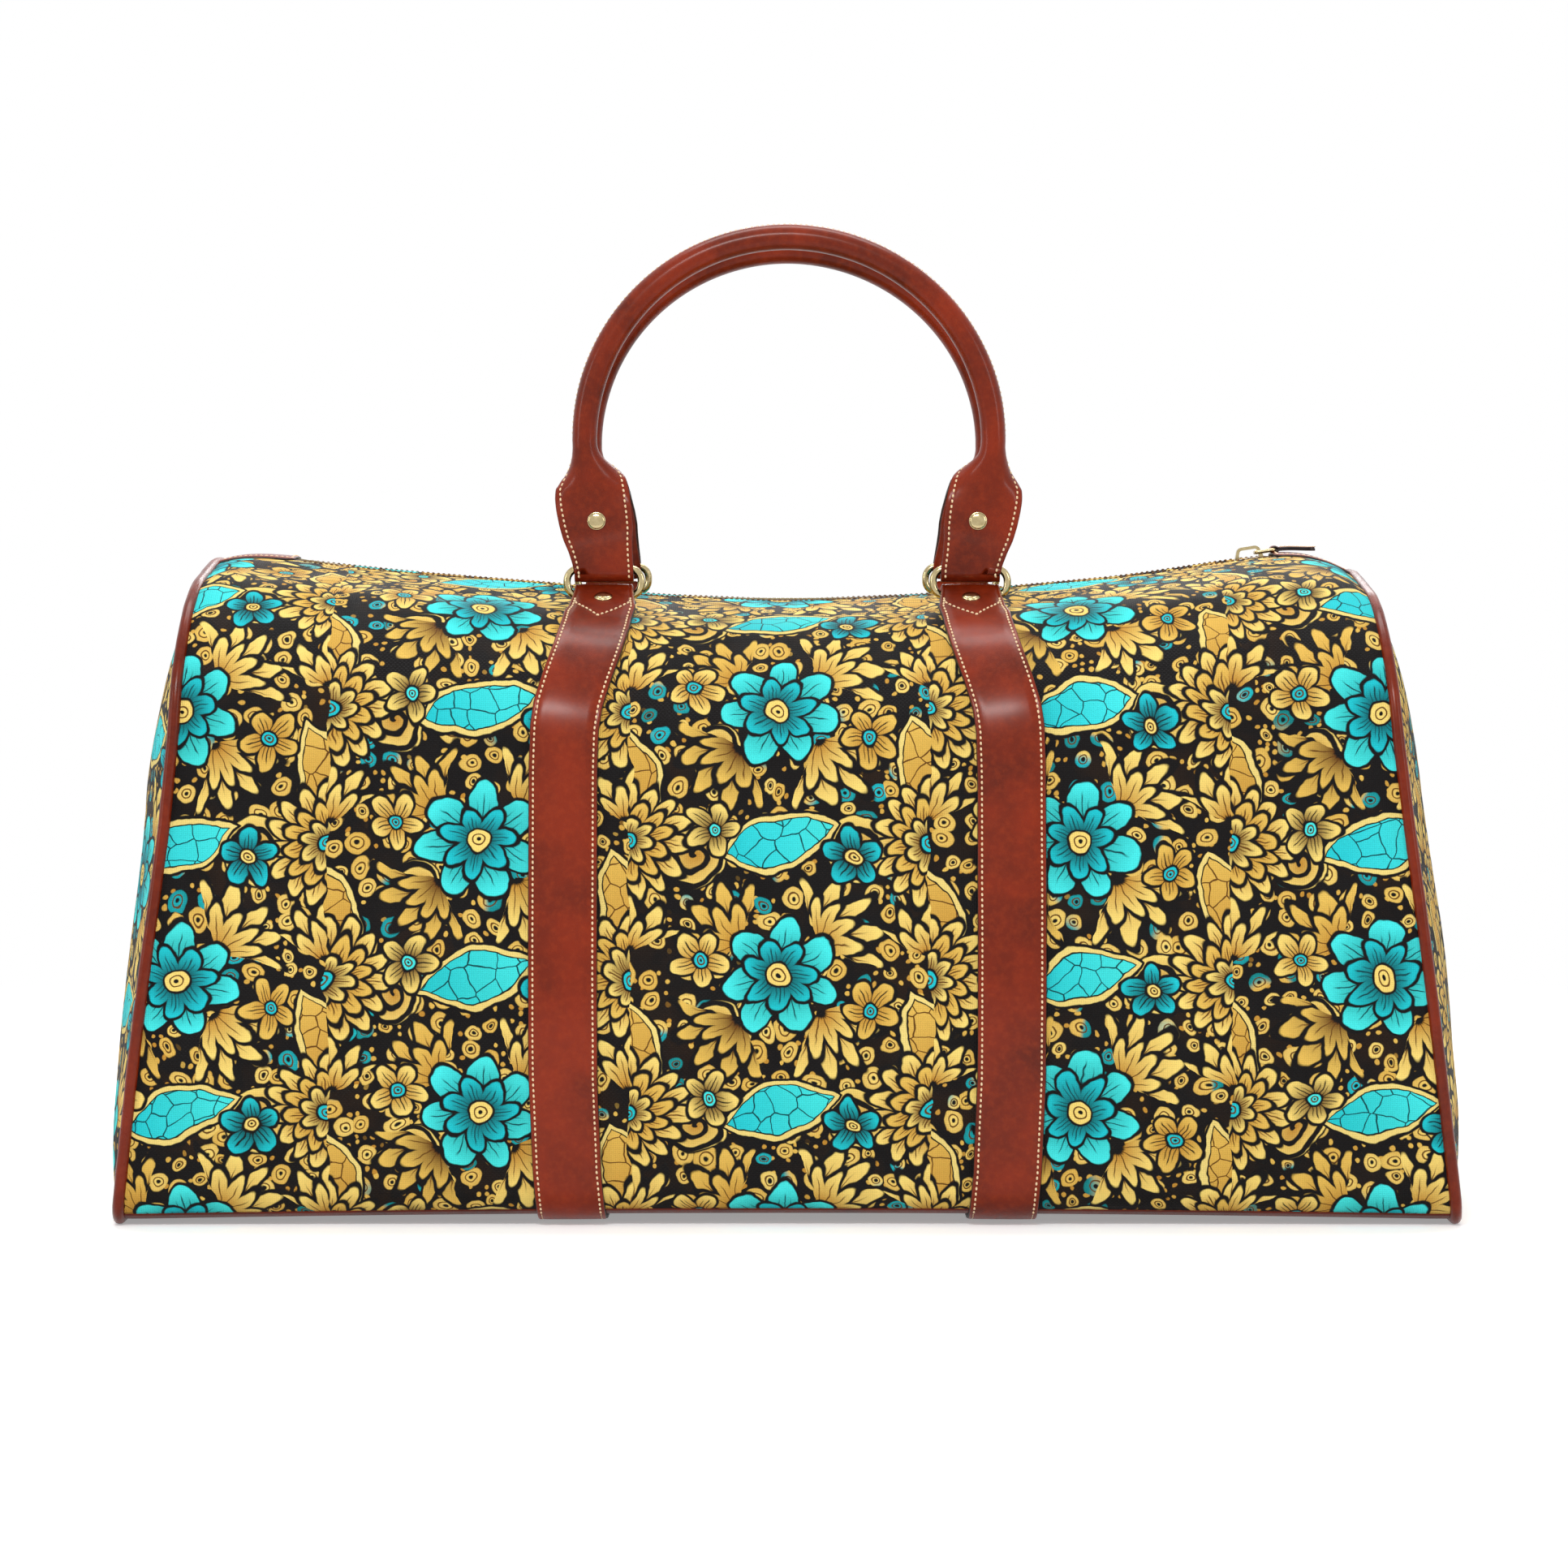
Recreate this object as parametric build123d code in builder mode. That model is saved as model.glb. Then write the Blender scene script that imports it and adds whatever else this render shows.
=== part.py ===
from build123d import *
import os
from math import asin, atan, cos, degrees, hypot, radians, sin, sqrt, tan

os.makedirs("parts", exist_ok=True)

# Travel bag: X runs along the bag, -Y is the front, +Z is up, and the floor is z = 0.

# Body
base_half_width = 262.0         # half length of the base, at the piped seams
end_slant = 5.2                 # lean of each end towards the middle, in degrees
base_half_depth = 117.0         # half depth at the base corners
belly_half_depth = 123.0        # half depth where the front stands furthest out
belly_height = 95.0             # height of that place above the base
shoulder_half_depth = 108.0     # half depth of the corner where the front turns over
crest_height = 246.0            # top of the bag at the middle of the zip
end_crest_height = 257.0        # top of the bag at the piped seams
crest_radius = 1250.0           # long arc that the zip sags along
top_slope = 9.0                 # fall of the top from the zip to the shoulder, in degrees
base_corner_radius = 12.0
belly_radius = 260.0
shoulder_radius = 60.0
crest_round_radius = 190.0      # round of the top across the zip
wall = 2.0                      # canvas with its backing
base_seam_height = 2.6          # height of the base seam above the underside of the base
end_bulge = 20.0                # how far a filled end stands out from its seam

# Piping and straps
piping_radius = 2.4
strap_thickness = 2.4
strap_width = 27.0
strap_x = 88.0                  # middle of a strap on the front
strap_foot_x = 84.5             # middle of a strap where it turns under the base
strap_foot_height = 22.0
strap_turn_low = 196.0          # height where a strap starts to lean to the handle
strap_turn_high = 226.0         # height where it has reached the line of the ring

# Rings that join the handles to the straps
ring_x = 74.0
ring_y = 52.0
ring_wire_radius = 1.5
ring_length = 30.0              # middle of wire to middle of wire
ring_height = 11.0
ring_corner_radius = 4.0
ring_fit = 0.1                  # clearance of a ring in its leather loop
loop_wall = 2.2
loop_width = 23.4
ring_lift = 5.4                 # lower bar of a ring above the top of the bag
tongue_start = 18.0             # start of the folded strap end, in front of the ring
tongue_thickness = 4.6
tongue_sink = 0.5               # how far the start of the fold is sunk into the top
strap_bend_radius = 24.0
sole_trim = 0.1                 # cut flat off the underside of the straps, where the bag stands

# Handles
handle_radius = 81.7            # arch, to the middle of the roll
handle_roll_radius = 5.2
handle_centre_height = 310.5
handle_tab_thickness = 4.8
tab_width = 29.0
tab_widest_height = 287.0
tab_shoulder_height = 276.0
tab_neck_height = 304.0
tab_widest_x = 77.5
tab_fold_narrowing = 0.5        # each edge of a tab at its shoulder, in from the widest place
tab_neck_narrowing = 0.6        # each edge of a tab at the neck, in from the roll's side
tab_lower_round = 40.0
tab_upper_round = 9.0

# Rivets
rivet_cap_radius = 3.7
rivet_cap_height = 1.3
rivet_rim_height = 0.33         # straight edge of a cap, below its dome
rivet_dome_radius = 2.6         # a place on the dome: this far out
rivet_dome_height = 0.84        # and this high
rivet_post_radius = 1.5
handle_rivet_height = 278.0
handle_rivet_x = 76.6
strap_rivet_back = 9.0          # strap rivet in front of the ring, along the strap end
strap_rivet_grip = 4.4

# Zip
zip_half_length = 204.0
zip_slot_half_width = 14.0
tape_drop = 0.6                 # tape below the top of the bag
tape_thickness = 1.2
tape_gap_half_width = 2.0
tooth_pitch = 3.6
tooth_length = 1.5
tooth_height = 2.6
tooth_reach = 1.4               # how far a tooth crosses the middle of the zip
bead_half_height = 1.1
bead_width = 1.6
tape_end_gap = 0.5
end_tab_half_width = 17.0
end_tab_thickness = 1.2
end_tab_overlap = 4.0
end_tab_corner_radius = 4.0

# Slider and pull
slider_x = 192.0
slider_length = 13.0
slider_width = 9.6
slider_plate = 1.4
slider_nose_width = 6.9         # narrow end of the slider's plate
slider_corner_radius = 1.2
slider_flange = 0.8
slider_flange_length = 4.1
slider_clearance = 0.3
bridge_width = 3.0
bridge_thickness = 1.3
bridge_top = 6.6                # above the top of the bag
bridge_foot = 6.0
bridge_rake = 1.6
bridge_corner_radius = 2.4
pull_wire_radius = 0.8
pull_gap = 1.1                  # between the slider's plate and the link
pull_length = 7.6
pull_width = 8.0
pull_corner_radius = 1.2
pull_x = 3.0                    # pull's pivot from the middle of the slider
tab_leather_length = 17.0
tab_leather_width = 8.6
tab_leather_thickness = 2.2
tab_leather_wall = 0.8

base_level = strap_thickness    # the straps pass under the base, so the base is this high
arc_centre_height = crest_height + crest_radius


def crest(x):
    """Height of the long sagging arc of the zip at a distance x from the middle."""
    return arc_centre_height - sqrt(crest_radius**2 - x**2)


def outline_corners(top, scale=1.0):
    """Corners of the bag's cross-section, scaled about the middle of its height."""
    rise = crest_round_radius / cos(radians(top_slope)) - crest_round_radius
    peak = top + rise
    shoulder = peak - shoulder_half_depth * tan(radians(top_slope))
    middle = (top + base_level) / 2
    half = [
        (0.0, peak, crest_round_radius),
        (shoulder_half_depth, shoulder, shoulder_radius),
        (belly_half_depth, base_level + belly_height, belly_radius),
        (base_half_depth, base_level, base_corner_radius),
    ]
    points = half + [(-y, z, r) for y, z, r in reversed(half[1:])]
    places = [(scale * y, middle + scale * (z - middle)) for y, z, r in points]
    return places, [scale * r for y, z, r in points]


def outline(plane, top, grow=0.0, scale=1.0):
    """Cross-section of the bag as a sketch, grown outwards by a thickness."""
    places, radii = outline_corners(top, scale)
    with BuildSketch(plane) as section:
        with BuildLine():
            FilletPolyline(*places, radius=radii, close=True)
        make_face()
        if grow:
            offset(amount=grow, mode=Mode.REPLACE)
    return section.sketch


def end_plane(side, distance=0.0):
    """Plane of a piped seam, moved outwards by a distance. side is -1 for left, 1 for right."""
    lean = radians(end_slant)
    seam = Plane(
        origin=(side * base_half_width, 0, 0),
        x_dir=(0, 1, 0),
        z_dir=(cos(lean), 0, side * sin(lean)),
    )
    return seam.offset(side * distance)


end_top = end_crest_height / cos(radians(end_slant))
stations = [-zip_half_length, -136.0, -68.0, 0.0, 68.0, 136.0, zip_half_length]


def body_sections(grow=0.0):
    """Cross-sections of the bag from the left seam to the right one."""
    middle = [outline(Plane.YZ.offset(x), crest(x), grow) for x in stations]
    left = outline(end_plane(-1), end_top, grow)
    right = outline(end_plane(1), end_top, grow)
    return [left] + middle + [right]


def surface_height(x, y):
    """Height of the top of the bag on its straight slope between the zip and the shoulder."""
    rise = crest_round_radius / cos(radians(top_slope)) - crest_round_radius
    return crest(x) + rise - abs(y) * tan(radians(top_slope))


# Bodies that the panels and straps are cut from
with BuildPart() as bag_space:
    loft(body_sections())

with BuildPart() as bag_inside:
    loft(body_sections(-wall))

with BuildPart() as strap_space:
    loft(body_sections(strap_thickness + sole_trim))
    split(bisect_by=Plane.XY, keep=Keep.TOP)

with BuildPart() as tab_space:
    loft(body_sections(end_tab_thickness))


def make_piping(side):
    """Leather cord sewn into the seam round one end of the bag."""
    seam = end_plane(side)
    places, radii = outline_corners(end_top)
    with BuildPart() as piping:
        with BuildLine(seam) as path:
            FilletPolyline(*places, radius=radii, close=True)
        start = path.wires()[0]
        with BuildSketch(Plane(origin=start @ 0, z_dir=start % 0)):
            Circle(piping_radius)
        sweep(path=start)
    return piping.part


piping_left = make_piping(-1)
piping_right = make_piping(1)


def make_panel(side):
    """Front (side -1) or rear (side 1) canvas panel, from the base seam up to the zip."""
    slot_height = crest_height / 2
    with BuildPart() as panel:
        add(bag_space.part)
        add(bag_inside.part, mode=Mode.SUBTRACT)
        add(piping_left, mode=Mode.SUBTRACT)
        add(piping_right, mode=Mode.SUBTRACT)
        with BuildSketch(Plane.XY.offset(slot_height)):
            Rectangle(2 * base_half_width, 2 * zip_slot_half_width)
        extrude(amount=crest_height, mode=Mode.SUBTRACT)
        split(bisect_by=Plane.XY.offset(base_level + base_seam_height), keep=Keep.TOP)
        split(bisect_by=Plane.XZ, keep=Keep.TOP if side < 0 else Keep.BOTTOM)
    return panel.part


def make_base():
    """Leather base, up to the seam on the base corners."""
    with BuildPart() as base:
        add(bag_space.part)
        add(bag_inside.part, mode=Mode.SUBTRACT)
        add(piping_left, mode=Mode.SUBTRACT)
        add(piping_right, mode=Mode.SUBTRACT)
        split(bisect_by=Plane.XY.offset(base_level + base_seam_height), keep=Keep.BOTTOM)
    return base.part


# Outlines of a filled end: share of the seam's size, and share of the bulge that it stands out
bulge_steps = [(1.0, 0.0), (0.93, 0.40), (0.80, 0.68), (0.58, 0.90), (0.28, 1.0)]


def make_end(side, piping):
    """Filled end panel that stands out from its seam like a cushion."""
    outer = []
    inner = []
    for scale, out in bulge_steps:
        distance = end_bulge * out
        outer.append(outline(end_plane(side, distance), end_top, 0, scale))
        inner.append(outline(end_plane(side, distance - wall), end_top, 0, scale))
    with BuildPart() as end:
        loft(outer)
        loft(inner, mode=Mode.SUBTRACT)
        add(piping, mode=Mode.SUBTRACT)
    return end.part


ring_low_height = surface_height(ring_x, ring_y) + ring_lift
ring_high_height = ring_low_height + ring_height
bore_radius = ring_wire_radius + ring_fit
loop_radius = bore_radius + loop_wall
tongue_y = ring_y + tongue_start
tongue_low_height = surface_height(ring_x, tongue_y) + tongue_thickness / 2 - tongue_sink


def make_rivet(plane, grip, both_caps):
    """Domed rivet whose cap seats on the plane, with its post going down through the grip."""
    side_plane = Plane(origin=plane.origin, x_dir=plane.x_dir, z_dir=-plane.y_dir)
    post_end = -grip / 2 if both_caps else -grip
    dome = (rivet_dome_radius, rivet_dome_height)
    with BuildPart() as rivet:
        with BuildSketch(side_plane):
            with BuildLine():
                ThreePointArc((0, rivet_cap_height), dome, (rivet_cap_radius, rivet_rim_height))
                Polyline(
                    (rivet_cap_radius, rivet_rim_height),
                    (rivet_cap_radius, 0),
                    (rivet_post_radius, 0),
                    (rivet_post_radius, post_end),
                    (0, post_end),
                    (0, rivet_cap_height),
                )
            make_face()
        revolve(axis=Axis(plane.origin, plane.z_dir))
        if both_caps:
            mirror(about=plane.offset(post_end))
    return rivet.part


def strap_edge(side, shift):
    """Points of one edge of a strap seen from the front, from below the base to above the top."""
    middles = [
        (strap_foot_x, -strap_width),
        (strap_foot_x, 0),
        (strap_x, strap_foot_height),
        (strap_x, strap_turn_low),
        (ring_x, strap_turn_high),
        (ring_x, crest_height + strap_width),
    ]
    return [(side * x + shift, height) for x, height in middles]


def tongue_plane(side, face):
    """Plane on top of a folded strap end, where its rivet sits."""
    rise = ring_low_height - tongue_low_height
    run = hypot(tongue_start, rise)
    slope = atan(rise / tongue_start) + asin((loop_radius - tongue_thickness / 2) / run)
    top_y = ring_y + loop_radius * sin(slope) + strap_rivet_back * cos(slope)
    top_height = ring_low_height + loop_radius * cos(slope) - strap_rivet_back * sin(slope)
    origin = (side * ring_x, face * top_y, top_height)
    return Plane(origin=origin, x_dir=(1, 0, 0), z_dir=(0, face * sin(slope), cos(slope)))


def make_strap(side, rivets):
    """One leather strap, up the front, under the base and up the rear, folded round two rings."""
    half = strap_width / 2
    left = strap_edge(side, -half)
    right = strap_edge(side, half)
    turns = [0, strap_bend_radius, strap_bend_radius, strap_bend_radius, strap_bend_radius, 0]
    with BuildPart() as strap:
        add(strap_space.part)
        with BuildSketch(Plane.XZ):
            with BuildLine():
                FilletPolyline(*left, *reversed(right), radius=turns + turns, close=True)
            make_face()
        extrude(amount=2 * belly_half_depth, both=True, mode=Mode.INTERSECT)
        with BuildSketch(Plane.XY.offset(crest_height / 2)):
            Rectangle(4 * strap_x, 2 * (tongue_y - tongue_thickness))
        extrude(amount=crest_height, mode=Mode.SUBTRACT)
        for face in (-1, 1):
            with BuildSketch(Plane.YZ.offset(side * ring_x)):
                with Locations((face * ring_y, ring_low_height)):
                    Circle(loop_radius)
                with Locations((face * tongue_y, tongue_low_height)):
                    Circle(tongue_thickness / 2)
                make_hull()
            extrude(amount=loop_width / 2, both=True)
        add(bag_space.part, mode=Mode.SUBTRACT)
        for face in (-1, 1):
            with BuildSketch(Plane.YZ.offset(side * ring_x)):
                with Locations((face * ring_y, ring_low_height)):
                    Circle(bore_radius)
            extrude(amount=loop_width, both=True, mode=Mode.SUBTRACT)
        for rivet in rivets:
            add(rivet, mode=Mode.SUBTRACT)
    return strap.part


def make_ring(side, face):
    """Oval ring of round wire that joins a strap to a handle."""
    half_length = ring_length / 2
    corners = [
        (side * ring_x - half_length, ring_low_height),
        (side * ring_x + half_length, ring_low_height),
        (side * ring_x + half_length, ring_high_height),
        (side * ring_x - half_length, ring_high_height),
    ]
    with BuildPart() as ring:
        with BuildLine(Plane.XZ.offset(-face * ring_y)) as path:
            FilletPolyline(*corners, radius=ring_corner_radius, close=True)
        wire = path.wires()[0]
        with BuildSketch(Plane(origin=wire @ 0, z_dir=wire % 0)):
            Circle(ring_wire_radius)
        sweep(path=wire)
    return ring.part


def handle_tab_edge(side, hand):
    """Points of one edge of a handle's end tab, from the ring up to the neck of the roll."""
    places = [
        (ring_x, loop_width / 2, ring_high_height),
        ((ring_x + tab_widest_x) / 2, tab_width / 2 - tab_fold_narrowing, tab_shoulder_height),
        (tab_widest_x, tab_width / 2, tab_widest_height),
        (handle_radius, handle_roll_radius - tab_neck_narrowing, tab_neck_height),
    ]
    return [(side * x + hand * half, height) for x, half, height in places]


def make_handle(face, rivets):
    """Rolled leather handle whose flat ends fold round the rings."""
    middle = Plane.XZ.offset(-face * ring_y)
    low = tab_neck_height - handle_roll_radius
    top = (0, handle_centre_height + handle_radius)
    left_end = (-handle_radius, handle_centre_height)
    right_end = (handle_radius, handle_centre_height)
    turns = [0, tab_lower_round, tab_upper_round, 0]
    with BuildPart() as handle:
        with BuildLine(middle) as path:
            Line((-handle_radius, low), left_end)
            ThreePointArc(left_end, top, right_end)
            Line(right_end, (handle_radius, low))
        with BuildSketch(Plane.XY.offset(low)):
            with Locations((-handle_radius, face * ring_y)):
                Circle(handle_roll_radius)
        sweep(path=path.wires()[0])
        for side in (-1, 1):
            left = handle_tab_edge(side, -1)
            right = handle_tab_edge(side, 1)
            with BuildSketch(middle):
                with BuildLine():
                    FilletPolyline(*left, *reversed(right), radius=turns + turns[::-1], close=True)
                make_face()
            extrude(amount=handle_tab_thickness / 2, both=True)
            with BuildSketch(Plane.YZ.offset(side * ring_x)):
                with Locations((face * ring_y, ring_high_height)):
                    Circle(loop_radius)
                with Locations((face * ring_y, ring_high_height + tongue_start / 2)):
                    Circle(handle_tab_thickness / 2)
                make_hull()
            extrude(amount=loop_width / 2, both=True)
            with BuildSketch(Plane.YZ.offset(side * ring_x)):
                with Locations((face * ring_y, ring_high_height)):
                    Circle(bore_radius)
            extrude(amount=loop_width, both=True, mode=Mode.SUBTRACT)
        for rivet in rivets:
            add(rivet, mode=Mode.SUBTRACT)
    return handle.part


def zip_sector(plane, inner_radius, outer_radius):
    """Strip along the zip's arc, between two radii about the arc's centre."""
    half_angle = asin((zip_half_length - tape_end_gap) / crest_radius)

    def point(radius, share):
        turn = share * half_angle
        return (radius * sin(turn), arc_centre_height - radius * cos(turn))

    with BuildSketch(plane) as sector:
        with BuildLine():
            ThreePointArc(point(inner_radius, -1), point(inner_radius, 0), point(inner_radius, 1))
            Line(point(inner_radius, 1), point(outer_radius, 1))
            ThreePointArc(point(outer_radius, 1), point(outer_radius, 0), point(outer_radius, -1))
            Line(point(outer_radius, -1), point(inner_radius, -1))
        make_face()
    return sector.sketch


tape_middle_radius = crest_radius + tape_drop + tape_thickness / 2
bead_edge = tape_gap_half_width + bead_width


def make_tape(face):
    """One tape of the zip, from the panel's edge to the bead that carries the teeth."""
    plane = Plane.XZ.offset(-face * bead_edge)
    half = tape_thickness / 2
    with BuildPart() as tape:
        extrude(
            zip_sector(plane, tape_middle_radius - half, tape_middle_radius + half),
            amount=-face * (zip_slot_half_width - bead_edge),
        )
    return tape.part


def make_teeth(face):
    """Bead and teeth of one side of the zip, which interlock with the other side's."""
    pitch_angle = tooth_pitch / tape_middle_radius
    reach = int((zip_half_length - tooth_pitch) / tooth_pitch)
    offset_share = 0.0 if face < 0 else 0.5
    turns = [(index + offset_share) * pitch_angle for index in range(-reach, reach)]
    middle_y = face * (bead_edge - tooth_reach) / 2
    places = []
    for turn in turns:
        height = arc_centre_height - tape_middle_radius * cos(turn)
        middle = (tape_middle_radius * sin(turn), middle_y, height)
        places.append(Location(middle, (0, -degrees(turn), 0)))
    plane = Plane.XZ.offset(-face * tape_gap_half_width)
    bead_inner_radius = tape_middle_radius - bead_half_height
    bead_outer_radius = tape_middle_radius + bead_half_height
    bead = zip_sector(plane, bead_inner_radius, bead_outer_radius)
    with BuildPart() as teeth:
        extrude(bead, amount=-face * bead_width)
        with Locations(*places):
            Box(tooth_length, bead_edge + tooth_reach, tooth_height)
    return teeth.part


def make_end_tab(side, piping):
    """Leather facing over one end of the zip, sewn into the piped seam."""
    start = zip_half_length - end_tab_overlap
    length = base_half_width - start
    with BuildPart() as tab:
        add(tab_space.part)
        with BuildSketch(Plane.XY.offset(crest_height / 2)):
            with Locations((side * (start + length / 2), 0)):
                RectangleRounded(length, 2 * end_tab_half_width, end_tab_corner_radius)
        extrude(amount=crest_height, mode=Mode.INTERSECT)
        add(bag_space.part, mode=Mode.SUBTRACT)
        add(piping, mode=Mode.SUBTRACT)
    return tab.part


slider_angle = asin(slider_x / crest_radius)
slider_plane = Plane(
    origin=(slider_x, 0, crest(slider_x)),
    x_dir=(cos(slider_angle), 0, sin(slider_angle)),
    z_dir=(-sin(slider_angle), 0, cos(slider_angle)),
)
slider_side = Plane(
    origin=slider_plane.origin,
    x_dir=slider_plane.x_dir,
    z_dir=-slider_plane.y_dir,
)
tooth_top = tooth_height / 2 - tape_drop - tape_thickness / 2
plate_under = tooth_top + slider_clearance
plate_top = plate_under + slider_plate
flange_under = slider_clearance - tape_drop
pull_height = plate_top + pull_gap + pull_wire_radius


def make_slider():
    """Slider plate with its side flanges and the bridge that holds the pull."""
    half = slider_length / 2
    nose = slider_nose_width / 2
    wide = slider_width / 2
    bridge_window = 2 * bridge_foot - 3 * bridge_thickness
    with BuildPart() as slider:
        with BuildSketch(slider_plane.offset(plate_under)) as plate:
            with BuildLine():
                Polyline(
                    (-half, -nose), (0, -wide), (half, -wide),
                    (half, wide), (0, wide), (-half, nose),
                    close=True,
                )
            make_face()
            fillet(plate.vertices(), slider_corner_radius)
        extrude(amount=slider_plate)
        with BuildSketch(slider_plane.offset(flange_under)):
            for hand in (-1, 1):
                with Locations((half / 2, hand * (slider_width - slider_flange) / 2)):
                    Rectangle(slider_flange_length, slider_flange)
        extrude(until=Until.NEXT)
        with BuildSketch(slider_side):
            with BuildLine():
                FilletPolyline(
                    (-bridge_foot, plate_top), (-bridge_foot + bridge_rake, bridge_top),
                    (bridge_foot - bridge_rake, bridge_top), (bridge_foot, plate_top),
                    radius=[bridge_corner_radius, bridge_corner_radius],
                )
                Line((bridge_foot, plate_top), (-bridge_foot, plate_top))
            make_face()
            offset(amount=-bridge_thickness, mode=Mode.SUBTRACT)
            with Locations((0, plate_top + bridge_thickness / 2)):
                Rectangle(bridge_window, bridge_thickness, mode=Mode.SUBTRACT)
        extrude(amount=bridge_width / 2, both=True)
    return slider.part


def make_pull():
    """Wire link that hangs the leather pull on the slider's bridge."""
    half = pull_width / 2
    corners = [
        (pull_x, -half),
        (pull_x + pull_length, -half),
        (pull_x + pull_length, half),
        (pull_x, half),
    ]
    with BuildPart() as pull:
        with BuildLine(slider_plane.offset(pull_height)) as path:
            FilletPolyline(*corners, radius=pull_corner_radius, close=True)
        wire = path.wires()[0]
        with BuildSketch(Plane(origin=wire @ 0, z_dir=wire % 0)):
            Circle(pull_wire_radius)
        sweep(path=wire)
    return pull.part


def make_pull_tab():
    """Leather pull folded round the far bar of the link."""
    bar_x = pull_x + pull_length
    neck = pull_width - 2 * pull_corner_radius - 2 * ring_fit
    blade_start = bar_x + pull_wire_radius + slider_clearance
    blade_end = bar_x + tab_leather_length
    loop = pull_wire_radius + ring_fit + tab_leather_wall
    with BuildPart() as tab:
        with BuildSketch(slider_side):
            with Locations((bar_x, pull_height)):
                Circle(loop)
            with Locations((bar_x + 2 * loop, pull_height)):
                Circle(tab_leather_thickness / 2)
            make_hull()
        extrude(amount=neck / 2, both=True)
        with BuildSketch(slider_plane.offset(pull_height - tab_leather_thickness / 2)):
            with Locations(((blade_start + blade_end) / 2, 0)):
                RectangleRounded(blade_end - blade_start, tab_leather_width, tab_leather_width / 4)
        extrude(amount=tab_leather_thickness)
        with BuildSketch(slider_side):
            with Locations((bar_x, pull_height)):
                Circle(pull_wire_radius + ring_fit)
        extrude(amount=tab_leather_width, both=True, mode=Mode.SUBTRACT)
    return tab.part


def export(shape, name):
    """Label a finished piece and write its file."""
    shape.label = name
    export_step(shape, f"parts/{name}.step")


pipings = {-1: piping_left, 1: piping_right}
side_names = {-1: "left", 1: "right"}
face_names = {-1: "front", 1: "rear"}

export(piping_left, "piping_left")
export(piping_right, "piping_right")
export(make_panel(-1), "front_panel")
export(make_panel(1), "rear_panel")
export(make_base(), "base_panel")
export(make_end(-1, piping_left), "end_panel_left")
export(make_end(1, piping_right), "end_panel_right")

for side, side_name in side_names.items():
    strap_rivets = []
    for face in (-1, 1):
        strap_rivets.append(make_rivet(tongue_plane(side, face), strap_rivet_grip, False))
    export(make_strap(side, strap_rivets), f"strap_{side_name}")
    export(strap_rivets[0], f"strap_rivet_front_{side_name}")
    export(strap_rivets[1], f"strap_rivet_rear_{side_name}")
    export(make_end_tab(side, pipings[side]), f"zip_end_tab_{side_name}")

for face, face_name in face_names.items():
    handle_rivets = []
    for side, side_name in side_names.items():
        seat_y = face * (ring_y + handle_tab_thickness / 2)
        seat = Plane(
            origin=(side * handle_rivet_x, seat_y, handle_rivet_height),
            x_dir=(1, 0, 0),
            z_dir=(0, face, 0),
        )
        handle_rivet = make_rivet(seat, handle_tab_thickness, True)
        handle_rivets.append(handle_rivet)
        export(handle_rivet, f"handle_rivet_{face_name}_{side_name}")
        export(make_ring(side, face), f"ring_{face_name}_{side_name}")
    export(make_handle(face, handle_rivets), f"handle_{face_name}")
    export(make_tape(face), f"zip_tape_{face_name}")
    export(make_teeth(face), f"zip_teeth_{face_name}")

export(make_slider(), "zip_slider")
export(make_pull(), "zip_pull")
export(make_pull_tab(), "zip_pull_tab")
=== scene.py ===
import math

import bmesh
import bpy
import numpy as np
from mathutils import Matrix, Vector, noise


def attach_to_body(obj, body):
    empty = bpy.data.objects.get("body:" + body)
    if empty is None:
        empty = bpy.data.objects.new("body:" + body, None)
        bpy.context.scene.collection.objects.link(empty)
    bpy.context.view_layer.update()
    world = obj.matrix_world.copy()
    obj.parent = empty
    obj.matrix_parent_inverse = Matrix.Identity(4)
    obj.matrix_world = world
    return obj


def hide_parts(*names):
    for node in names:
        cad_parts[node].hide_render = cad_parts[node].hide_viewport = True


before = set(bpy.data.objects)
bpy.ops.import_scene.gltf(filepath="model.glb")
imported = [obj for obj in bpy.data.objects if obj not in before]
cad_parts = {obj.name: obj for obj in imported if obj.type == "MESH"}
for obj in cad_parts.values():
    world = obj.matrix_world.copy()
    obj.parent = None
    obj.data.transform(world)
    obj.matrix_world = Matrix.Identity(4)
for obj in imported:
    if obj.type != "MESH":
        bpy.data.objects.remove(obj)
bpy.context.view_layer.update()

# Lengths are in millimetres here, and meshes are written in metres.
MM = 0.001

# the body
BASE_HALF = 264.5
SLANT = math.radians(7.4)
LEAN_FROM = 118.0
SWELL_FROM = 178.0
BASE_DEPTH = 117.0
BELLY_DEPTH = 123.0
BELLY_Z = 97.4
SHOULDER_DEPTH = 108.0
TOP_SLOPE = math.radians(9.0)
TOP_R, SHOULDER_R, BELLY_R, FOOT_R = 190.0, 60.0, 260.0, 12.0
RISE = TOP_R / math.cos(TOP_SLOPE) - TOP_R
BASE_Z = 2.4
BASE_LIFT = 2.4
SEAM_Z = 5.0
PIPING_R = 2.4

# the zip, along an arc over the body
CREST_R = 1250.0
CREST_Z = 246.0
ARC_Z = CREST_Z + CREST_R
SLOT_Y = 14.0
TAPE_HALF = 203.6
HEM_HALF = 199.0
FACING_X = 201.0
PULL_X = 192.0
PULL_H = 3.7

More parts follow.
